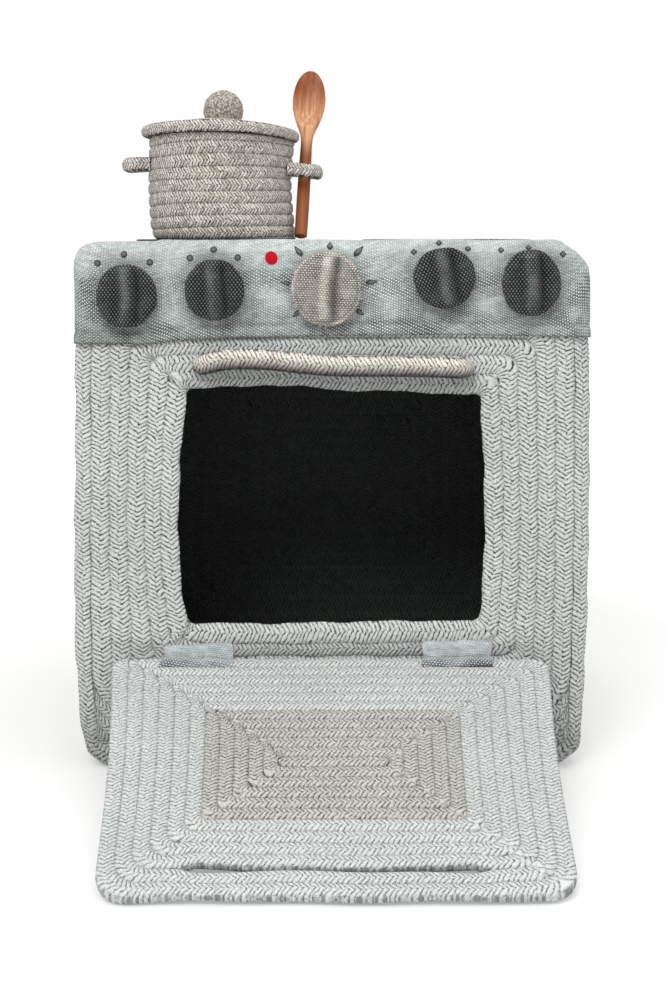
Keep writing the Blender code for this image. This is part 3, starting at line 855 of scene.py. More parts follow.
# %% [markdown]
# ## The door
#
# The door is a second flat coil, made in the way of a rag rug. It starts with a short straight piece of
# beige rope in the middle, and every round is laid outside the last. After five beige rounds the rope
# changes to the pale one. Both sides show, since the door shuts over the mouth with its underside out.
# It hangs on its hinge rope and slopes down to the floor, so each point is placed along the slope.
#
# The slit near its free edge is no cut. Two rounds are simply not sewn to each other there, and they
# lean apart, so the borders of the rows move away from the gap.

# %% Sizes of the door
door_joint = next(joint for joint in frame["joints"] if joint["name"] == "door_hinge")
_, hinge_y, hinge_z = door_joint["pos_m"]
rest_angle = math.radians(18.546)
door_reach, door_half_width, door_half = 0.243, 0.1585, 0.005
window_half, window_start, window_end, window_corner = 0.09125, 0.0595, 0.1745, 0.006
door_rows, window_rows = 6, 5
# The door's coils step over to the next row in their lower left corner too
door_step, door_shift = 0.045, -0.1


def on_door(x, along, out):
    """Points of the open door: across, out from the hinge, and up from its middle plane."""
    # Its free edge is narrower than its hinge edge, most of all on the left
    x = x * np.where(x < 0, 1.030 - 0.1295 * along / door_reach, 1.002 - 0.0752 * along / door_reach)
    x = x * (1 - 0.0205 * np.sin(math.pi * unit(along / door_reach)))
    c, s = math.cos(rest_angle), math.sin(rest_angle)
    return stacked(x, hinge_y - along * c - out * s, hinge_z - along * s + out * c)


def door_border(turn, row):
    """Across and along of a border: row 0 is the window's outline, and row 6 the door's."""
    share = row / door_rows
    window = (window_half, window_start, window_end, window_corner, window_corner)
    door = (door_half_width, -door_half, door_reach, 0.012, 0.022)
    return round_box(turn, *(inner + (outer - inner) * share for inner, outer in zip(window, door)))[0]


print("the open door slopes down by", round(math.degrees(rest_angle), 1), "degrees")


# %% The slit, and the soft wave of the free edge
slit_half = 0.1065


def part_rows(flat, row, side):
    """Moves a row's border away from the slit; side is -1 for its inner border, 1 for its outer."""
    x, along = flat.T
    reach = eased(unit((slit_half - np.abs(x)) / 0.012))
    gape = reach * (0.0016 + 0.0022 * unit(np.abs(x) / 0.075) ** 2) * (1 + 0.15 * np.sin(x / 0.017 + 1))
    # The slit is at border 4, and its neighbours give way a little too
    pushes = {4: -side, 3: -0.55, 5: 0.5, 2: -0.25}
    push = sum(share * (np.abs(row - border) < 0.01) for border, share in pushes.items())
    wave = 0.0007 * np.sin(x / 0.031 + 0.6) + 0.0005 * np.sin(x / 0.013)
    return np.stack([x, along + unit((along - window_end) / 0.02) * (push * gape + wave * unit(row / 3))], 1)


def door_rope_mesh(name, low, high, rope, seed):
    wave = 0.0004 * np.sin(low[:, 0] / 0.05 + 1) + 0.0003 * np.sin(low[:, 1] / 0.04)
    low, high = (on_door(*flat.T, door_half + np.maximum(wave, 0)) for flat in (low, high))
    up, lay = (0, -math.sin(rest_angle), math.cos(rest_angle)), lay_along(low, down=(0, -1, 0))
    return rope_mesh(name, low, high, up, 2 * door_half, rope, seed, lay, two_sided, 3.2)


turn, inner_row, outer_row = coil_rows(door_rows, 110, door_step, door_shift)
inner = part_rows(door_border(turn, inner_row), inner_row, -1)
outer = part_rows(door_border(turn, outer_row), outer_row, 1)
door_coil = door_rope_mesh("door_coil", inner, outer, "door_rope", 11)
finish(door_coil, "door", ["door_frame"])

# %% The beige middle
window_middle = (window_start + window_end) / 2
core_half = 0.0053
window_pitch = ((window_end - window_start) / 2 - core_half) / window_rows
core_reach = window_half - window_rows * window_pitch


def window_border(turn, row):
    grown = row * window_pitch
    radius = core_half + (window_corner - core_half) * row / window_rows
    low, high = window_middle - core_half - grown, window_middle + core_half + grown
    return round_box(turn, core_reach + grown, low, high, radius)[0]


turn, inner_row, outer_row = coil_rows(window_rows, 90, door_step, door_shift)
borders = [window_border(turn, row) for row in (inner_row, outer_row)]
rings = door_rope_mesh("window_coil", *borders, "window_rope", 12)
x = np.linspace(-core_reach + 0.0002, core_reach - 0.0002, 40)
bulge = core_half * np.sqrt(1 - (x / core_reach) ** 12)
borders = [np.stack([x, window_middle + side * bulge], 1) for side in (-1, 1)]
core = door_rope_mesh("window_core", *borders, "window_rope", 13)
finish(joined("window_coil", rings, core), "door", ["door_window"])


# %% [markdown]
# ## The rope handle
#
# A single rope leaves the face at the mouth's upper left corner, runs across and goes back in on the
# right. It is free all the way, so it has a round section. When the door shuts, the handle is pushed
# through the door's slit, where the soft rope gives way and flattens; only its free, round shape is made here.

# %% The handle


def round_rope(name, centre, out, radius, rope, seed):
    """A free rope of round section along a smooth line; out is the side that the Vs face."""
    path = directions(np.gradient(centre, axis=0))
    out = directions(out - path * (out * path).sum(1)[:, None])
    side, crest = np.cross(out, path) * radius, centre + out * radius
    return rope_mesh(name, crest - side, crest + side, out, 2 * radius, rope, seed, 1.0, two_sided, 2.0, 1.0)


def bail(half_span, reach, bend, lead, steps=10):
    """Pairs (across, out) along two legs and a run that are joined by round bends."""
    line = [(-half_span, y) for y in np.linspace(-lead, reach - bend, 6)[:-1]]
    line += [
        (-half_span + bend - bend * math.cos(a), reach - bend + bend * math.sin(a))
        for a in np.linspace(0, math.pi / 2, steps)
    ]
    run = np.linspace(-half_span + bend, half_span - bend, max(int((half_span - bend) / 0.002), 3))
    line += [(x, reach) for x in run[1:-1]]
    line += [(-x, y) for x, y in reversed(line[: 5 + steps])]
    return np.array(line)


handle_half, handle_radius = 0.0952, 0.0075
# Where its middle runs: it rises from its left end, and dips towards the right
rise_places = (-0.0955, -0.086, -0.071, -0.049, -0.031, -0.006, 0.012, 0.048, 0.077, 0.0955)
rises = (0.3040, 0.3080, 0.3095, 0.3091, 0.3072, 0.3045, 0.3041, 0.3041, 0.3035, 0.3024)
x, reach = bail(handle_half, 0.0148, 0.011, 0.008).T
heights = np.mean([np.interp(x + step, rise_places, rises) for step in np.linspace(-0.006, 0.006, 7)], 0)
centre = stacked(x, face_y - 0.0003 - reach, heights)
handle = round_rope("handle", centre, [0, -1.0, 0.15], handle_radius, "warm_rope", 21)
at = places(handle)
height = (at[:, 2] - np.interp(at[:, 0], x, heights)) / handle_radius
# Painted light on the handle's top, and painted shade on its lower half and, darker still, on its underside
shaded, underside = unit((0.34 - height) / 0.60), unit((-0.48 - height) / 0.3)
set_attribute(handle, "painted_shade_and_tone", 0.16 - 0.70 * shaded - 0.34 * underside)
finish(handle, "kitchen", ["door_handle_rope"])
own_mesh(handle)


# %% [markdown]
# ## A woven cloth
#
# Canvas is a plain weave: each thread goes over one and under the next. In the shader group, the floor
# of each coordinate counts the threads, and the odd and even crossings take turns at being on top. The
# sine of the remainder rounds each thread. Noise drags the grid a little, as in stretched cloth.

# %% The weave as a shader group


def weave_group():
    numbers = ("Warp Pitch", "Weft Pitch", "Skew", "Drag", "Contrast", "Warp")
    w, given, result = group_tree("weave", ("Colour", "Gap Colour"), numbers)
    uv = w.value("ShaderNodeUVMap", uv_map="UVMap")
    right, up, _ = w.split(uv)
    place = w.place()
    u = (w.noise(uv, 18, 1) - 0.5) * given["Drag"] + right
    v = (w.noise(w.join(up, right, 0.7), 15, 1) - 0.5) * given["Drag"] + (right * given["Skew"] + up)
    u, v = u / given["Warp Pitch"], v / given["Weft Pitch"]
    across, along = ((thread.of("FRACT") * math.pi).of("SINE") for thread in (u, v))
    weft_over = ((u.of("FLOOR") + v.of("FLOOR")) * 0.5).of("FRACT") * 2.0
    weft = along.of("SQRT") * (across * 0.6 + 0.4)
    warp = across.of("SQRT") * (along * 0.64 + 0.36) * given["Warp"]
    height = weft_over * (weft - warp) + warp
    # Threads differ in thickness and tone
    slub = w.noise(w.join(u * 0.11, v * 0.9, 0.2), 1.0, 2)
    fuzz = w.noise(place, 1300, 2, 0.7)
    # Painted shade darkens the gaps between the threads
    dark = w.ramp((fuzz - 0.5) * 0.7 + height, 0.22, 0.82, 1.0, 0.0)
    # The weave is open in some places and closed in others
    openness = w.ramp(w.noise(place, 55, 3, 0.6), 0.35, 0.65, 0.72, 1.15) * given["Contrast"]
    # Where light falls flat on the cloth its gaps hardly show
    openness = openness * (1.0 - w.attribute("smooth"))
    dark = w.math("MULTIPLY", dark, openness, clamp=True)
    tone = w.ramp(slub, 0.3, 0.7, 0.84, 1.10) * w.ramp(w.noise(place, 9, 2), 0.3, 0.7, 0.95, 1.04)
    tone = tone * w.ramp(w.noise(place, 210, 2, 0.6), 0.3, 0.7, 0.88, 1.10)
    # Each piece's painted light and shade, and any tone of its own, come in through an attribute
    tone = tone * (w.attribute("painted_shade_and_tone") + 1.0)
    w.feed(result["Colour"], w.shade(w.tint(dark, given["Colour"], given["Gap Colour"]), tone))
    w.feed(result["Height"], fuzz * 0.4 + height)
    return w.tree


weave = weave_group()


def canvas_material(name, colour, gap_colour, warp, weft, skew, drag, contrast, warp_level, relief=0.0006):
    values = {"Colour": linear(*colour), "Gap Colour": linear(*gap_colour), "Warp Pitch": warp, "Weft Pitch": weft}
    values |= {"Skew": skew, "Drag": drag, "Contrast": contrast, "Warp": warp_level}
    return cloth_material(name, weave, values, relief)


# Each cloth: its two colours (its threads, and the painted shade in its gaps), the widths of its threads, how skewed
# and dragged it is, how dark the painted shade in its gaps is, how high its warp stands, and for the coarse ones the
# height of the threads
cloths = {
    "canvas": ((244, 253, 251), (64, 72, 71), 0.0017, 0.0012, -0.2, 0.008, 0.95, 0.52),
    "strap_canvas": ((230, 238, 240), (66, 72, 73), 0.0013, 0.0014, -0.12, 0.001, 0.95, 0.55),
    "dark_canvas": ((128, 137, 134), (14, 18, 17), 0.0013, 0.0018, 0.0, 0.006, 1.3, 0.42, 0.0010),
    "ecru_canvas": ((236, 231, 222), (98, 93, 87), 0.0012, 0.0017, 0.0, 0.006, 1.0, 0.6, 0.0008),
    "fray_canvas": ((240, 230, 221), (172, 158, 148), 0.0012, 0.0016, 0.0, 0.004, 0.7, 0.7),
}
cloths = {name: canvas_material(name, *values) for name, values in cloths.items()}
print("canvas materials:", *cloths)


# %% [markdown]
# ## The canvas cover
#
# One cloth lies over the top and hangs down all round as a band, which carries the knobs in front. It
# is stretched over the basket, so it is built as rings that follow the basket's plan: up from the hem,
# over the round edge and in to the middle. It sags a little between the ropes and is dented round each
# knob. The hem is a fold, a little thicker than the cloth. Solidify gives the cloth its thickness.

# %% The cover's shape
cover_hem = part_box("canvas_cover")[0].z
basket_half_depth = -face_y
cloth_offset, cloth_thickness = 0.0017, 0.0014
knob_centres = [box_middle(f"knob_{number}").xz for number in range(1, 6)]


def cover_plan(z):
    """Half width and half depth of the cover's plan at a height, and the height lifted by the cloth."""
    corner, edge = outline_corner + cloth_offset, edge_radius + cloth_offset
    over_corner = max(z - basket_top + outline_corner, 0)
    up_corner = over_corner * corner / outline_corner
    up_edge = max(z - basket_top + edge_radius, 0) * edge / edge_radius
    half_x = half_width - outline_corner + math.sqrt(max(corner**2 - up_corner**2, 0))
    half_y = basket_half_depth - edge_radius + math.sqrt(max(edge**2 - up_edge**2, 0))
    return half_x, half_y, z + up_corner - over_corner


fold_height, fold_rings = 0.0125, 14
heights = [*np.linspace(cover_hem, cover_hem + fold_height, fold_rings)]
heights += [*np.linspace(cover_hem + fold_height, basket_top - outline_corner, 12)[1:]]
heights += [basket_top - outline_corner * (1 - math.sin(a)) for a in np.linspace(0, math.pi / 2, 15)[1:]]
heights = sorted(set(heights) | {basket_top - edge_radius * (1 - math.sin(a)) for a in np.linspace(0.3, 1.5, 5)})
rings = [cover_plan(z) for z in heights]
half_x, half_y, z = rings[-1]
rings += [(half_x * share, half_y * share, z) for share in 1 - 0.985 * np.linspace(0, 1, 22)[1:]]
turn = np.linspace(0, 1, 361)[:-1]
plan_sides = side_shares(0.262, 0.009)
points = []
for half_x, half_y, z in rings:
    plan_corner = max(min(half_y - basket_half_depth + edge_radius, half_x, half_y), 0.0004)
    flat, _ = round_box(turn, half_x, -half_y, half_y, plan_corner, knots=plan_sides)
    points.append(stacked(*flat.T, z))
points = np.array(points)
print("cover:", points.shape[0], "rings of", points.shape[1])

# %% Two weaves that meet at the top edge
# On the band a thread's place is its way round from the middle of the front, and on top it is x and y
plan_x, plan_y = points[..., 0], points[..., 1]
per_ring, band_rings = len(turn), len(heights) - 1
steps = np.linalg.norm(np.diff(points, axis=0), axis=2)
rise = np.concatenate([np.zeros((1, per_ring)), np.cumsum(steps, axis=0)])
drop = np.maximum(rise[band_rings] - rise, 0)
way = run_along(np.concatenate([points[0], points[0][:1]]))
facing = np.select([plan_y < -basket_half_depth + 0.02, plan_y > basket_half_depth - 0.02], [1, -1], 0)
shift = facing * (plan_x - plan_x[:1])
corner_uv = []
for i in range(len(rings) - 1):
    for j in range(per_ring):
        for ring, column in ((i, j), (i, j + 1), (i + 1, j + 1), (i + 1, j)):
            k = column % per_ring
            if i < band_rings:
                round_way = way[column] - (way[-1] if j >= per_ring // 2 else 0) + shift[ring, k]
                corner_uv.append((round_way, -basket_half_depth - drop[ring, k]))
            else:
                corner_uv.append((plan_x[ring, k], plan_y[ring, k]))
corner_uv += list(zip(plan_x[-1], plan_y[-1]))
print("corners in the cover's map:", len(corner_uv))

# %% The cover's folds, hem and dents
hem_places = (-0.19, -0.134, -0.119, -0.105, -0.075, 0, 0.085, 0.18)
hem_lifts = (-0.0015, -0.0015, 0.0006, 0.0021, 0.0032, 0.0047, 0.0054, 0.0039)
flat_points = points.reshape(-1, 3)
x, y, z = flat_points.T
front, back = unit((-y - 0.140) / 0.008), unit((y - 0.140) / 0.008)
knob_distances = [np.hypot(x - centre_x, z - centre_z) for centre_x, centre_z in knob_centres]
soft = 0.0006 * np.sin(x / 0.019 + 2 * z / 0.05) + 0.0005 * np.sin(x / 0.0071 - z / 0.011)
dent = sum(0.0012 * bell(far, 0, 0.02, 4) - 0.0005 * bell(far, 0.031, 0.008) for far in knob_distances)
up = z - cover_hem
fold = 0.0012 * bell(up, 0.0030, 0.0040, 4) - 0.0007 * bell(up, 0.0093, 0.0018)
flat_points[:, 1] += front * (dent - soft - fold)
side = unit((np.abs(x) - half_width + 0.002) / 0.003)
drawn_in = np.where(x > 0, 0.0018, 0)
flat_points[:, 0] += side * np.sign(x) * (0.0006 * np.sin(y / 0.02 + z / 0.03) + 0.4 * fold - drawn_in)
flat_points[:, 1] += back * (0.0005 * np.sin(x / 0.02) + fold)
top_soft = 0.0005 * np.sin(x / 0.017 + 0.8) * np.sin(y / 0.021)
top_soft = top_soft + 0.0028 * unit((x + 0.135) / 0.01) * bell(y, -0.147, 0.006)
flat_points[:, 2] += unit((z - basket_top + 0.002) / 0.002) * (top_soft - 0.0002)
hem_lift = np.interp(x, hem_places, hem_lifts) * unit((-y - 0.10) / 0.05)
flat_points[:, 2] += unit(1 - (up - 0.012) / 0.02) * hem_lift
# The cloth stands off the rope at the upper left corner, most of all in front
aside = np.maximum(-x - half_width + outline_corner, 0)
above = np.maximum(z - basket_top + outline_corner, 0)
far = np.maximum(np.hypot(aside, above), 1e-9)
squareness = 3.75 - 0.75 * np.clip(y / 0.15, -1, 1)
grow = ((aside / far) ** squareness + (above / far) ** squareness) ** (-1 / squareness) - 1
grow = np.where((aside > 0) & (above > 0), grow, 0)
flat_points[:, 0] -= grow * aside
flat_points[:, 2] += grow * above
last_ring = tuple(range((len(rings) - 1) * per_ring, len(rings) * per_ring))
faces = grid_faces(len(rings), per_ring) + [last_ring]
cover = new_object("cover", flat_points, faces, cloths["canvas"])
set_uv(cover, corner_uv, of_corners=True)
# Painted light and shade: the cloth is paler where light falls on it from above and in patches between the knobs,
# with painted shade in its dents round the knobs and in the hem's fold, a painted contact shadow along the hem, and
# darker low down at the left end
painted_shading_and_tone = -0.12 * unit((z - 0.374) / 0.016)
smooth = 0.62 * unit((z - 0.366) / 0.022)
for patch_x in (-0.12, -0.045, 0.04, 0.115):
    patch = bell(x, patch_x, 0.014) * bell(z, 0.350, 0.014) * front
    painted_shading_and_tone, smooth = painted_shading_and_tone + 0.10 * patch, smooth + 0.35 * patch
for centre_x, centre_z in knob_centres:
    painted_shading_and_tone = painted_shading_and_tone - 0.14 * bell(np.hypot(x - centre_x, z - centre_z), 0.026, 0.005) * front
painted_shading_and_tone = painted_shading_and_tone - 0.20 * unit((-x - 0.12) / 0.02) * bell(z, cover_hem, 0.02)
painted_shading_and_tone = painted_shading_and_tone - 0.15 * bell(up, 0.0093, 0.0016) - 0.12 * bell(up, 0.004, 0.006) - 0.5 * bell(up, 0, 0.0012)
set_attribute(cover, "painted_shade_and_tone", painted_shading_and_tone)
set_attribute(cover, "smooth", np.clip(smooth, 0, 0.7))
modify(cover, "SOLIDIFY", thickness=cloth_thickness, offset=-1)
finish(cover, "kitchen", ["canvas_cover"])


# %% [markdown]
# ## Hinge straps
#
# Two short canvas straps hold the door. Each comes out from under the row below the mouth, lies down
# the face, goes under the door's first rope, comes up behind it through the coil and is sewn back. The
# strip follows that line from the side, and its edges are not quite straight.

# %% The straps
strap_reach, strap_columns = 0.0063, 33
# How much lower each strap starts and how much lower it ends, on its left and on its right, and its shift
strap_places = {
    "left_strap": ((0.0044, 0.0020), (0.0014, 0.0034), -0.0020),
    "right_strap": ((0.0006, 0.0), (0.0024, -0.0010), 0.0003),
}
# Out and up from the hinge's axis: from the groove between the two rows below the mouth, out over the
# hinge rope, and then round it
strap_lead = (
    (-0.0112, 0.0188), (-0.0086, 0.0184), (-0.0068, 0.0172), (-0.0062, 0.0150), (-0.0060, 0.0120),
    (-0.0058, 0.0090), (-0.0053, 0.0060),
)
turned = np.radians(np.linspace(140, -150, 32))
strap_line = np.concatenate([strap_lead, strap_reach * np.stack([np.cos(turned), np.sin(turned)], 1)])
# The strap turns away from the eye at one of its rows, and is wrapped out of sight a few rows later
turning_row, wrapped_row = 20, 21


def make_strap(name, node, seed):
    low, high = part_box(node)
    run = run_along(strap_line)
    path = directions(np.gradient(strap_line, axis=0))
    columns = np.linspace(low.x, high.x, strap_columns)
    edge = np.linspace(-1, 1, strap_columns)
    starts, ends, aside = strap_places[name]
    start, end = (np.interp(edge, (-1, 1), pair) for pair in (starts, ends))
    ripple = 0.00035 * np.sin(columns / 0.0052 + seed) + 0.0003 * np.sin(columns / 0.0131 + seed)
    points, uvs, painted_shading_and_tone, smooth = [], [], [], []
    for number, ((out, up), (right, rise)) in enumerate(zip(strap_line, path)):
        on_lead = number < len(strap_lead)
        sway = 0.0009 * drift(run[number] + 0.3 * (edge > 0), 0.004, seed) * np.abs(edge) ** 5
        lean = -0.0026 * np.clip(-up / strap_reach, -1, 1) * (edge < 0) * edge**2 + aside
        lead = unit((up - 0.004) / 0.012) * on_lead
        fall = start * lead + end * (1 - lead)
        wider = 1 + 0.9 * np.maximum(end, 0) / strap_reach * (1 - lead) * (not on_lead)
        y = hinge_y - out * wider + rise * ripple
        points += list(zip(columns + sway + lean, y, hinge_z + up * wider - fall + right * ripple))
        uvs += [(x, run[number]) for x in columns]
        # Painted shade darkens only the narrow fold where the strap goes in behind the open door, and a little its
        # top, where it comes out from under the rope; elsewhere light falls flat on it and its gaps are kept pale
        shown = np.full(strap_columns, up if number < turning_row else -0.009)
        wrapped = unit((number - wrapped_row) / 3)
        low_edge = unit((0.0050 - shown) / 0.0040) * (1 - wrapped)
        smooth += list(0.62 * np.maximum(unit((shown - 0.0050) / 0.003), 0.7 * wrapped))
        painted_shading_and_tone += list(-0.24 * bell(shown, 0.0190, 0.0014) - 0.72 * low_edge**1.3)
    faces = grid_faces(len(strap_line), strap_columns, closed=False)
    strap = new_object(name, points, faces, cloths["strap_canvas"])
    set_uv(strap, uvs)
    set_attribute(strap, "painted_shade_and_tone", painted_shading_and_tone)
    set_attribute(strap, "smooth", smooth)
    modify(strap, "SOLIDIFY", thickness=cloth_thickness, offset=0)
    face_outwards(strap)
    finish(strap, "kitchen", [node])


make_strap("left_strap", "hinge_strap_left", 31)
make_strap("right_strap", "hinge_strap_right", 32)


# %% [markdown]
# ## Padded knobs
#
# Each knob is a small round cushion with a ridge pinched up across its front. It is made as cushions
# are: a flat disc is remeshed into small faces, and Cloth blows it up with a little pressure. That works
# best at the size of a real cushion, so the disc is ten times too large until it is blown up. Then the
# ridge and the valleys beside it are pinched in, as the maker's stitches do.

# %% The blown-up disc
blow_up = 10
cloth_steps = 20


def padded_disc(name, radius):
    """A soft disc of the knob's radius, flat at the back, with its front towards -Y."""
    disc = primitive(
        bpy.ops.mesh.primitive_cylinder_add, name, vertices=48, radius=(radius - 0.0014) * blow_up,
        depth=0.0062 * blow_up, rotation=(math.radians(90), 0, 0),
    )
    disc.data.remesh_voxel_size = 0.0016 * blow_up
    bpy.ops.object.voxel_remesh()
    shape = places(disc)
    cloth = disc.modifiers.new("cloth", "CLOTH")
    cloth.settings.use_pressure = True
    cloth.settings.uniform_pressure_force = 4
    cloth.settings.effector_weights.gravity = 0
    cloth.settings.quality = 5
    for step in range(1, cloth_steps + 1):
        bpy.context.scene.frame_set(step)
    move = places(disc.evaluated_get(bpy.context.evaluated_depsgraph_get())) - shape
    disc.modifiers.remove(cloth)
    bpy.context.scene.frame_set(1)
    far = np.linalg.norm(move, axis=1)
    shape += move * np.minimum(1, 0.0022 * blow_up / np.maximum(far, 1e-9))[:, None]
    move_to(disc, shape / blow_up)
    return disc


discs = {"dark_canvas": padded_disc("dark_disc", 0.0230), "ecru_canvas": padded_disc("ecru_disc", 0.0268)}
for disc in discs.values():
    print(disc.name, len(disc.data.vertices), "vertices,", round(2000 * places(disc)[:, 0].max(), 1), "mm wide")

# %% Pinching and placing each knob
knob_thickness = 0.0095
knob_leans = (0, 0, 3, -15, 0)
# No knob is quite round: half of each one's width and height
knob_halves = ((0.0221, 0.0233), (0.0218, 0.0226), (0.0255, 0.0270), (0.0226, 0.0225), (0.0214, 0.0246))


def ridge_place(up, seed):
    """How far the ridge wanders to the right at a height."""
    return 0.0012 * np.sin(up / 0.011 + seed)


def pinched(shape, halves, seed):
    """Presses the disc's back flat, fits its thickness and pinches the ridge across its front."""
    shape[:, 1] -= shape[:, 1].max()
    shape[:, 1] *= (knob_thickness + 0.0025) / -shape[:, 1].min()
    shape[:, [0, 2]] /= np.hypot(shape[:, 0], shape[:, 2]).max()
    x, z = shape[:, 0] * halves[0], shape[:, 2] * halves[1]
    far = unit(np.hypot(shape[:, 0], shape[:, 2]))
    front = unit(-shape[:, 1] / knob_thickness) ** 2
    beside = x - ridge_place(z, seed)
    ridge = 0.0064 * bell(beside, 0, 0.0043, 4) * (0.85 + 0.15 * np.sin(z / 0.006 + seed))
    valley = 0.0036 * bell(beside, 0.0076, 0.0030) + 0.0018 * bell(beside, -0.0082, 0.0030)
    shape[:, 1] -= front * unit(1 - far**6) * (ridge - valley)
    shape[:, 1] += front * 0.0005 * np.sin(x / 0.0043 + seed) * np.sin(z / 0.0051 + 2 * seed)
    angle = np.arctan2(z, x)
    edge = 1 + 0.010 * np.sin(3 * angle + seed) + 0.007 * np.sin(7 * angle + 2 * seed)
    shape[:, 0] = x * edge
    shape[:, 2] = z * edge * (1 - 0.012 * bell(beside, 0, 0.0055))
    return shape


def make_knob(number, slot, rim=0.0):
    node, disc = f"knob_{number}", discs[slot]
    halves, seed = knob_halves[number - 1], number * 1.7
    knob = disc.copy()
    knob.data = disc.data.copy()
    knob.name = f"soft_{node}"
    bpy.context.scene.collection.objects.link(knob)
    move_to(knob, pinched(places(disc), halves, seed))
    modify(knob, "SUBSURF", levels=1, render_levels=1)
    x, y, z = places(knob).T
    # The cloth wraps round the side, so the threads go on there at their true width
    far = np.maximum(np.hypot(x, z), 1e-6)
    wrap = (far + unit(y + 0.008)) / far
    set_uv(knob, np.stack([x * wrap, z * wrap], 1))
    beside = x - ridge_place(z, seed)
    share = np.hypot(x / halves[0], z / halves[1])
    inside = unit((0.93 - share) / 0.12)
    # Painted light on the ridge and painted shade in the valleys on either side of it; where light falls flat on the
    # ridge its gaps are kept pale
    painted_shading_and_tone = 0.26 * bell(beside, -0.0012, 0.0034) + 0.16 * bell(beside, -0.0036, 0.0009)
    painted_shading_and_tone = painted_shading_and_tone - 0.58 * bell(beside, 0.0066, 0.0030) - 0.16 * bell(beside, -0.0070, 0.0022)
    set_attribute(knob, "smooth", inside * 0.30 * bell(beside, -0.0008, 0.0036, 4))
    # On the light knob a paler band runs round the frayed rim, with painted shade in the stitched groove inside it
    painted_shading_and_tone = inside * painted_shading_and_tone + rim * (bell(share, 0.97, 0.045) - 0.9 * bell(share, 0.88, 0.022))
    set_attribute(knob, "painted_shade_and_tone", painted_shading_and_tone)
    c, s = math.cos(math.radians(knob_leans[number - 1])), math.sin(math.radians(knob_leans[number - 1]))
    centre_x, centre_z = knob_centres[number - 1]
    move_to(knob, stacked(x * c + z * s, y, z * c - x * s) + [centre_x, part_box(node)[1].y, centre_z])
    knob.data.materials.clear()
    knob.data.materials.append(cloths[slot])
    finish(knob, node, [node], angle=80)


for number in (1, 2, 4, 5):
    make_knob(number, "dark_canvas")
make_knob(3, "ecru_canvas", rim=0.3)
for disc in discs.values():
    bpy.data.objects.remove(disc)


# %% [markdown]
# ## The frayed edge of the light knob
#
# The middle knob is cut from natural cloth with a raw edge, and its thread ends stand out all round. One
# short thread is modelled from a cone, and then copied round the edge, each copy turned and
# scaled a little differently.

# %% Thread ends
thread = primitive(
    bpy.ops.mesh.primitive_cone_add, "thread_end", vertices=5, radius1=0.00046, radius2=0.0002, depth=0.0040
)
with edit_mode():
    bpy.ops.mesh.subdivide(number_cuts=1)
thread_shape = places(thread) + [0, 0, 0.0010]
thread_faces = [tuple(p.vertices) for p in thread.data.polygons]
bpy.data.objects.remove(thread)
ends, end_faces, end_uv = [], [], []
fray_centre = np.array([knob_centres[2][0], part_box("knob_3")[1].y - 0.0052, knob_centres[2][1]])
half_x, half_z = knob_halves[2]
end_count = 230
for number in range(end_count):
    angle = math.tau * number / end_count
    vary = hashed(np.arange(5) + 7 * number, 3)
    lean = Matrix.Rotation(angle + 0.7 * vary[0], 3, "Y") @ Matrix.Rotation(0.5 + 0.5 * vary[1], 3, "X")
    root = fray_centre + np.array([half_x * math.sin(angle), 0, half_z * math.cos(angle)]) * (0.955 + 0.02 * vary[3])
    root[1] += 0.0022 * vary[4]
    placed = thread_shape * (0.75 + 0.3 * vary[2]) @ np.array(lean).T + root
    end_faces += [tuple(i + len(ends) for i in face) for face in thread_faces]
    ends += list(placed)
    end_uv += [(p[0] + p[2], p[1] + number * 0.0011) for p in placed]
fray = new_object("knob_3_fray", ends, end_faces, cloths["fray_canvas"])
set_uv(fray, end_uv)
finish(fray, "knob_3")


# %% [markdown]
# ## Stitched marks and the pilot light
#
# Round each dark knob three small dots are embroidered, and round the light one a sun of tapered rays.
# Satin stitch lies on the cloth as a low dome of thread. One dome is modelled from a sphere, and each
# mark is a copy, set on the cloth where a line from the eye meets it. The pilot light is the same in red.

# %% Thread


def thread_group():
    w, given, result = group_tree("satin_thread", ("Colour", "Gap Colour"), ("Thread", "Slope"))
    place = w.place()
    x, _, z = w.split(place)
    across = z * given["Slope"] + x + w.noise(place, 500, 2) * 0.0005
    hump = ((across / given["Thread"]).of("FRACT") * math.pi).of("SINE")
    fuzz = w.noise(place, 1500, 2, 0.7)
    # Painted shade darkens the gaps between the threads
    colour = w.tint(w.ramp(fuzz * 0.3 + hump, 0.15, 0.8, 1.0, 0.0), given["Colour"], given["Gap Colour"])
    w.feed(result["Colour"], w.shade(colour, w.attribute("painted_shade_and_tone") + 1.0))
    w.feed(result["Height"], fuzz * 0.5 + hump)
    return w.tree


satin = thread_group()


def thread_material(name, colour, gap_colour, thread=0.0007, slope=0.4, sheen=0.12):
    values = {"Colour": linear(*colour), "Gap Colour": linear(*gap_colour), "Thread": thread, "Slope": slope}
    return cloth_material(name, satin, values, 0.0004, rough=0.8, sheen=sheen)


grey_thread = thread_material("grey_thread", (136, 148, 147), (74, 84, 84))
red_thread = thread_material("red_thread", (236, 22, 46), (186, 10, 32), 0.0009, 0.1, 0.02)
shank_cord = thread_material("shank_cord", (176, 172, 164), (110, 106, 98), 0.0012, 1.2)
print("thread materials:", grey_thread.name, red_thread.name, shank_cord.name)

# %% Marks on the cloth
band_y, dot_half = -0.1525, 0.00245
round_mark, diamond = 2.0, 1.15
# The places (across, up) of the three dots round each dark knob, and their form
dot_rows = (
    (((-0.172, 0.3787), (-0.1527, 0.3853), (-0.1339, 0.3795)), round_mark),
    (((-0.1046, 0.3826), (-0.0873, 0.3888), (-0.0698, 0.383)), round_mark),
    (((0.0585, 0.387), (0.0768, 0.3935), (0.0979, 0.3894)), diamond),
    (((0.122, 0.3884), (0.1421, 0.3901), (0.1672, 0.3855)), diamond),
)
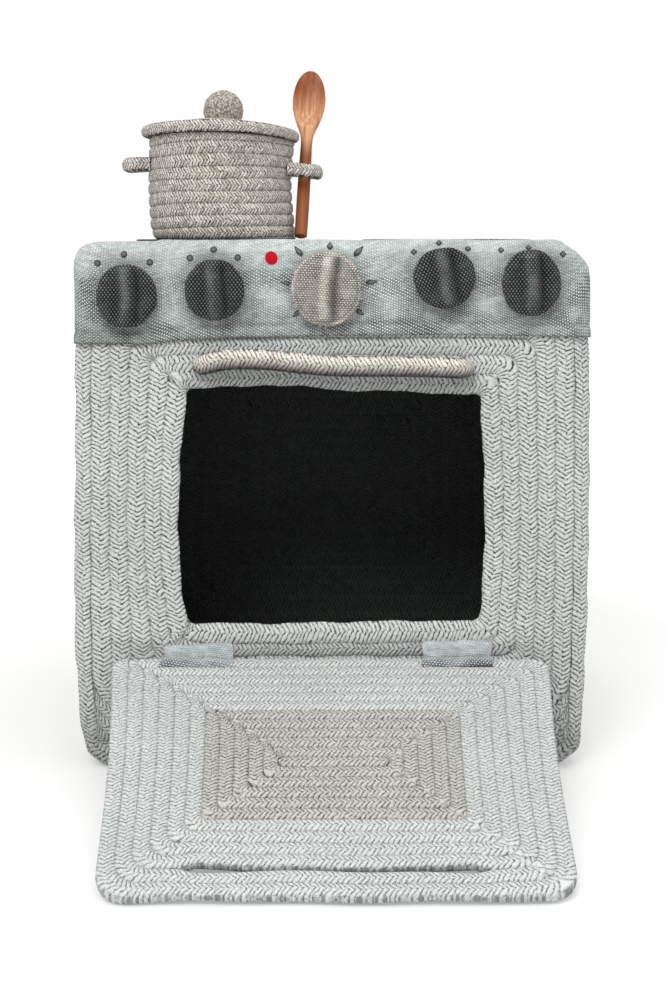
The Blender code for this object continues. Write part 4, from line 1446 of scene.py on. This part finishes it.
# Each ray of the sun: its place, half its length and half its width
rays = (
    ((-0.0349, 0.3644), 0.0043, 0.0016), ((-0.0256, 0.3877), 0.0050, 0.0020), ((-0.0026, 0.3915), 0.0036, 0.0022),
    ((0.0184, 0.3877), 0.0055, 0.0022), ((0.0279, 0.3651), 0.0047, 0.0017), ((0.0195, 0.3430), 0.0037, 0.0018),
    ((-0.0270, 0.3420), 0.0040, 0.0017),
)
# Each mark: its place, half its length, half its width, its turn in degrees, its form and its taper
marks = [(place, dot_half, dot_half, 0, form, 0.0) for row, form in dot_rows for place in row]
sun_x, sun_z = knob_centres[2]
for (x, z), half_length, half_breadth in rays:
    marks.append(((x, z), half_length, half_breadth, math.degrees(math.atan2(z - sun_z, x - sun_x)), 1.5, 0.5))


def dome(name, place, half_length, half_breadth, turn, power=2.0, taper=0.0, high=0.0009, rings=10, segments=20):
    """A low dome of thread from a sphere, laid on the cloth: its rim is darker than its crown."""
    made = primitive(bpy.ops.mesh.primitive_uv_sphere_add, name, segments=segments, ring_count=rings, radius=1)
    shape = places(made)
    far = np.hypot(shape[:, 0], shape[:, 2])
    set_attribute(made, "painted_shade_and_tone", -0.85 * unit((far - 0.45) / 0.35))
    spread = (np.abs(shape[:, 0]) ** power + np.abs(shape[:, 2]) ** power) ** (1 / power)
    shape[:, [0, 2]] *= (far / np.maximum(spread, 1e-6))[:, None]
    shape[:, 2] *= 1 - taper * shape[:, 0]
    move_to(made, shape)
    # Where the line from the eye to this place of the band's plane meets the cover
    target = Vector((place[0], band_y, place[1]))
    hit, spot, normal, _ = cover.ray_cast(eye, (target - eye).normalized())
    if not hit:
        spot, normal = target, Vector((0, -1, 0))
    face = normal.to_track_quat("Y", "Z").to_matrix().to_4x4() @ Matrix.Rotation(math.pi, 4, "Z")
    spin = Matrix.Rotation(-math.radians(turn), 4, "Y") @ Matrix.Diagonal((half_length, high, half_breadth, 1))
    made.data.transform(Matrix.Translation(spot) @ face @ spin)
    return made


stitches = joined("stitched_marks", *[dome(f"mark_{number}", *mark) for number, mark in enumerate(marks)])
stitches.data.materials.append(grey_thread)
finish(stitches, "kitchen", angle=80)

pilot = dome("pilot", box_middle("pilot_light").xz, 0.0051, 0.0051, 20, high=0.0013, rings=12, segments=9)
pilot.data.attributes.remove(pilot.data.attributes["painted_shade_and_tone"])
modify(pilot, "SUBSURF", levels=1, render_levels=1)
pilot.data.materials.append(red_thread)
finish(pilot, "kitchen", ["pilot_light"], angle=80)
for number in range(1, 6):
    shank = frame["nodes"][f"knob_{number}_shank"]
    shank.data.materials.clear()
    shank.data.materials.append(shank_cord)
print("marks:", len(marks))


# %% [markdown]
# ## The burners
#
# Four round patches of dark canvas lie on the hob. Each is a circle, extruded to the thickness of the
# cloth, with a narrow rim that a row of stitches has pulled down.

# %% Burners
# Thickness and depth of each inset, from the rim in: a bevel, the rim, the groove's two walls, the middle
burner_insets = ((0.0008, 0.0003), (0.0022, 0), (0.0007, -0.0004), (0.0008, 0.0004), (0.02, 0))
for number in range(1, 5):
    node = f"burner_{number}"
    low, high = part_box(node)
    patch = primitive(
        bpy.ops.mesh.primitive_circle_add, f"soft_{node}", vertices=72, radius=(high.x - low.x) / 2,
        fill_type="NGON", location=(*box_middle(node).xy, low.z),
    )
    with edit_mode():
        bpy.ops.mesh.extrude_region_move(TRANSFORM_OT_translate={"value": (0, 0, (high.z - low.z) * 0.75)})
        for thickness, depth in burner_insets:
            bpy.ops.mesh.inset(thickness=thickness, depth=depth)
    face_outwards(patch)
    set_uv(patch, places(patch)[:, :2])
    patch.data.materials.append(cloths["dark_canvas"])
    finish(patch, "kitchen", [node])


# %% [markdown]
# ## The pot and its lid
#
# The pot is one rope too: it winds flat for the base and then climbs in a helix. A helix has no step,
# so its borders simply rise by one row a turn, and its first and last turns are wedges that make the
# foot and the rim level. The rope is spun from grey and beige yarns, so it is mottled.

# %% Winding a helix
pot_low, pot_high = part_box("pot_body")
pot_x, pot_y, _ = box_middle("pot_body")
pot_radius, pot_wall, pot_rows = 0.0575, 0.0095, 8.6
# The rim ends a little low, more so on the right, and the lid sits down on it
lid_drop, pot_lean = 0.0026, 0.024
pot_height = pot_high.z - pot_low.z - lid_drop


def helix_rows(rows, per_round):
    place = np.arange(-1, rows, 1 / per_round)
    return place, np.clip(place, 0, rows), np.clip(place + 1, 0, rows)


def ring_direction(turn):
    angle = math.tau * turn - math.pi / 2
    return stacked(np.cos(angle), np.sin(angle), 0 * turn)


def pot_border(turn, row):
    share = row / pot_rows
    height = share * pot_height
    wide = 0.0003 * np.sin(height / 0.0115) + 0.0003 * np.sin(math.tau * 2 * turn + height / 0.02)
    foot = (0.0012 - 0.0008 * np.cos(math.tau * (turn - 0.25))) * unit(1 - height / 0.005) ** 2
    points = ring_direction(turn) * (pot_radius - 0.0014 + wide - foot)[:, None] + [pot_x, pot_y, pot_low.z]
    middle = np.sin(math.pi * share)
    wave = 0.0005 * np.sin(math.tau * 3 * turn + row) * middle
    points[:, 2] += height + wave - share * pot_lean * (points[:, 0] - pot_x)
    in_front = unit((pot_y - points[:, 1]) / 0.03)
    points[:, 2] += 0.0027 * share**3 * (1 - ((points[:, 0] - pot_x) / pot_radius) ** 2) * in_front
    points[:, 0] += 0.0015 - 0.0018 * middle + 0.0013 * unit(1 - share / 0.5)
    return points


def flat_spiral(name, radius, rows, top, thickness, seed, dome_height=0.0, power=2.5, about=(pot_x, pot_y)):
    """A disc of rope that winds out from the middle, with its crest at height top."""
    turn, inner_row, outer_row = helix_rows(rows, 72)

    def border(row):
        flat = ring_direction(turn) * (row * radius / rows)[:, None] + [*about, 0]
        return flat + np.outer(top + dome_height * (1 - (row / rows) ** 2), [0, 0, 1])

    borders = border(inner_row), border(outer_row)
    return rope_mesh(name, *borders, [0, 0, 1], thickness, "pot_rope", seed, 1.0, two_sided, power)


turn, inner_row, outer_row = helix_rows(pot_rows, 96)
borders = pot_border(turn, inner_row), pot_border(turn, outer_row)
pot_side = rope_mesh(
    "pot_side", *borders, ring_direction(turn), pot_wall, "pot_rope", 41, 1.0, two_sided, 3.0, overlap=1.1
)
pot_base = flat_spiral("pot_base", pot_radius - 0.0075, 5, pot_low.z + 0.0092, 0.0090, 42)
finish(joined("pot_coil", pot_side, pot_base), "pot", ["pot_body"])

# %% The pot's loops
loop_radius = 0.0054
# Each loop: its side, how far it reaches, its height, its seed and how much it hangs
pot_loops = {"left": (-1, 0.0184, 0.057, 43, 0.0), "right": (1, 0.0224, 0.053, 44, 0.08)}
for name, (side, reach, height, seed, tilt) in pot_loops.items():
    along, out = bail(0.017, reach - 0.0055, 0.011, 0.005, steps=8).T
    centre = stacked(pot_x + side * (pot_radius + out), pot_y + along, pot_low.z + height - tilt * out)
    outward = stacked(side * out.clip(0.002), 0.4 * along - 0.004, 0.002)
    # Both ropes run to the same hand
    loop = round_rope(f"{name}_loop", centre[::side].copy(), outward[::side].copy(), loop_radius, "pot_rope", seed)
    finish(loop, "pot", [f"pot_handle_{name}"])

# %% The lid
lid_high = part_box("pot_lid")[1]
lid_x, lid_y, _ = box_middle("pot_lid")
rim_rope, rim_reach = 0.0043, 0.0570
rim_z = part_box("pot_lid")[0].z - lid_drop + rim_rope
lid_edge = rim_z + rim_rope - 0.0008
# The last round is a thicker rope, whose ends meet at the back
turn = np.linspace(-0.5, 0.5, 121)
sag = np.outer(0.0003 * np.sin(math.tau * 3 * turn), [0, 0, 1])
centre = ring_direction(turn) * rim_reach + [lid_x, lid_y, rim_z] + sag
rim = round_rope("lid_rim", centre, ring_direction(turn), rim_rope, "pot_rope", 46)
lid = flat_spiral(
    "lid_coil", rim_reach - 0.0035, 5.6, lid_edge, 0.0085, 45, lid_high.z - lid_edge, 2.6, (lid_x, lid_y)
)
for piece, level in ((rim, 0.02), (lid, 0)):
    set_attribute(piece, "painted_shade_and_tone", np.full(len(piece.data.vertices), level))
lid = joined("lid_coil", lid, rim)
shape = places(lid)
# It leans to the right, and its front is pushed up in the middle
shape[:, 2] -= pot_lean * (shape[:, 0] - lid_x)
shape[:, 2] += 0.0029 * (1 - ((shape[:, 0] - lid_x) / rim_reach) ** 2) * unit((lid_y - shape[:, 1]) / 0.03)
shape[:, 0] += 0.0012
move_to(lid, shape)
finish(lid, "lid", ["pot_lid"])


# %% [markdown]
# ## The ball on the lid
#
# The lid is lifted by a ball that is crocheted round a little stuffing. Crochet is knots all over, so
# this material is made of small cells: each has its own tone, painted shade darkens the gaps between them,
# and the same distance to a cell's middle makes the bump. The ball starts as a sphere, and is cut flat where it
# sits.

# %% The ball's knots
knots, w, shader = new_look("ball_knots", {"Roughness": 0.95, "Specular IOR Level": 0.15})
place = w.place()
stir = w.value(
    "ShaderNodeVectorMath", w.noise(place, 260, output="Color"), (0.0022,) * 3, place, operation="MULTIPLY_ADD"
)
distance = w.value("ShaderNodeTexVoronoi", output="Distance", given={"Vector": stir, "Scale": 600}, feature="F1")
gap = w.ramp(distance, 0.35, 0.85)
tone = w.ramp(w.noise(place, 700, 3, 0.7), 0.3, 0.7)
colour = w.tint(tone, linear(160, 150, 140), linear(238, 230, 221))
# Painted shade darkens the gaps between the knots
w.feed(shader.inputs["Base Color"], w.tint(gap * 0.7, colour, linear(98, 88, 80)))
w.bump(shader, 1.0 - gap, 0.0008)
print("the ball's material:", knots.name)

# %% The ball's shape
ball_low, ball_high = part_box("lid_knob")
ball_radius = (ball_high.x - ball_low.x) / 2
ball_centre = Vector((*box_middle("lid_knob").xy, ball_high.z - ball_radius)) + Vector((0.0035, 0, -0.0006))
ball = primitive(
    bpy.ops.mesh.primitive_uv_sphere_add, "lid_ball", segments=64, ring_count=40, radius=ball_radius + 0.0001,
    location=ball_centre,
)
with edit_mode():
    bpy.ops.mesh.bisect(
        plane_co=(0, 0, ball_low.z + 0.0002), plane_no=(0, 0, -1), clear_outer=True, use_fill=True
    )
shape = places(ball)
x, y, z = directions(shape - np.array(ball_centre)).T
lump = np.sin(x * 9 + 1) * np.sin(z * 8) + np.sin(y * 21) * np.sin(z * 19 + 2)
lump = 0.00022 * lump * (shape[:, 2] > ball_low.z + 0.001)
move_to(ball, shape + stacked(x, y, z) * lump[:, None])
ball.data.materials.append(knots)
finish(ball, "lid", ["lid_knob"], angle=50)


# %% [markdown]
# ## The wooden spoon
#
# The spoon is carved from one piece. A circle is the foot of its handle; each extrusion upwards is
# scaled to the next section, which grows into the bowl and closes at the tip. Subdivision rounds it all.
# Then the front of the bowl is pressed in, as a gouge would hollow it, which leaves a thin rim.

# %% The spoon's wood
spoon_turn = Matrix.Rotation(math.radians(3), 4, "Y") @ Matrix.Rotation(math.radians(-26), 4, "X")
wood, w, shader = new_look("spoon_wood", {"Specular IOR Level": 0.4})
upright_place = {"Vector": w.place(), "Rotation": spoon_turn.inverted().to_euler()}
stretch = w.value(
    "ShaderNodeVectorMath", w.value("ShaderNodeMapping", given=upright_place), (1, 1, 0.06), operation="MULTIPLY"
)
grain, pores = w.noise(stretch, 420, 4, 0.6), w.noise(stretch, 2400, 2, 0.6)
_, _, z = w.split(w.place())
# Painted light: the lower part of the bowl is made lighter, as light from above falls into its hollow; towards the
# tip it turns back to the handle's colour
bowl_painted_light = w.ramp(z, 0.458, 0.480) * w.ramp(z, 0.490, 0.522, 1.0, 0.0)
light = w.tint(bowl_painted_light, linear(156, 84, 36), linear(222, 168, 126))
dark = w.tint(bowl_painted_light, linear(130, 64, 24), linear(180, 118, 74))
colour = w.tint(w.ramp(grain, 0.32, 0.66), dark, light)
colour = w.tint(w.ramp(pores, 0.60, 0.72, 0.0, 0.5), colour, linear(104, 52, 26))
w.feed(shader.inputs["Base Color"], colour)
w.feed(shader.inputs["Roughness"], w.ramp(grain, 0.3, 0.7, 0.52, 0.40))
w.bump(shader, grain - pores, 0.0001, strength=0.5)
print("the spoon leans, in degrees:", [round(math.degrees(a)) for a in spoon_turn.to_euler()])

# %% The spoon's shape
spoon_length, bowl_length, spoon_radius, widest_share = 0.148, 0.061, 0.0045, 0.52
bowl_start = spoon_length - bowl_length
# Height, half width and half depth of the handle's sections; those of the bowl follow
stations = [
    (0.0002, 0.0048, 0.0043), (0.0010, 0.0050, 0.0045), (0.03, 0.0052, 0.0046), (0.06, 0.0050, 0.0044),
    (0.076, 0.0046, 0.0042),
]


def bowl_swell(share):
    """The bowl's outline: it opens softly out of the handle and ends in half an ellipse."""
    if share < widest_share:
        return math.sin(math.pi / 2 * share / widest_share)
    return math.sqrt(max(1 - ((share - widest_share) / (1 - widest_share)) ** 2, 0))


for share in (0.0, 0.08, 0.16, 0.24, 0.34, 0.44, 0.54, 0.64, 0.74, 0.83, 0.90, 0.95, 0.98, 0.995):
    narrow = 0.0046 * (1 - share)
    half, deep = (narrow + (full - narrow) * bowl_swell(share) for full in (0.0135, 0.0056))
    stations.append((bowl_start + bowl_length * share, half, deep))
height, half, deep = 0.0, 0.0046, 0.0046
spoon = primitive(bpy.ops.mesh.primitive_circle_add, "wooden_spoon", vertices=16, radius=half, fill_type="NGON")
with edit_mode():
    for new_height, new_half, new_deep in stations:
        bpy.ops.mesh.extrude_region_move(TRANSFORM_OT_translate={"value": (0, 0, new_height - height)})
        bpy.ops.transform.resize(value=(new_half / half, new_deep / deep, 1), center_override=(0, 0, new_height))
        height, half, deep = new_height, new_half, new_deep
    bpy.ops.mesh.select_all(action="SELECT")
    bpy.ops.mesh.normals_make_consistent(inside=False)
modify(spoon, "SUBSURF", levels=2, render_levels=2)
# The front of the bowl is pressed in, deepest at its middle and not at all at its rim
for vertex in spoon.data.vertices:
    x, y, z = vertex.co
    share = (z - bowl_start) / bowl_length
    if y < 0 and 0.12 < share < 0.96:
        swell = bowl_swell(share)
        inside = max(0, 1 - (x / (0.0126 * swell)) ** 2)
        hollow = 0.0092 * inside**0.7 * math.sin(math.pi * (share - 0.12) / 0.84) ** 0.5 * swell
        vertex.co.y = min(y + hollow, 0.0052 * swell - 0.0022)
spoon.data.update()
# It leans in the right loop, and its foot's lower edge stands on the hob
loop_height = 0.053
axis = spoon_turn @ Vector((0, 0, 1))
low_edge = spoon_radius * math.sqrt(1 - axis.z**2)
foot = Vector((pot_radius + 0.0081, 0.0032, loop_height)) - axis * ((loop_height - low_edge) / axis.z)
spoon.data.transform(Matrix.Translation(Vector((pot_x, pot_y, pot_low.z)) + foot) @ spoon_turn)
spoon.data.materials.append(wood)
finish(spoon, "spoon", ["spoon"], angle=80)
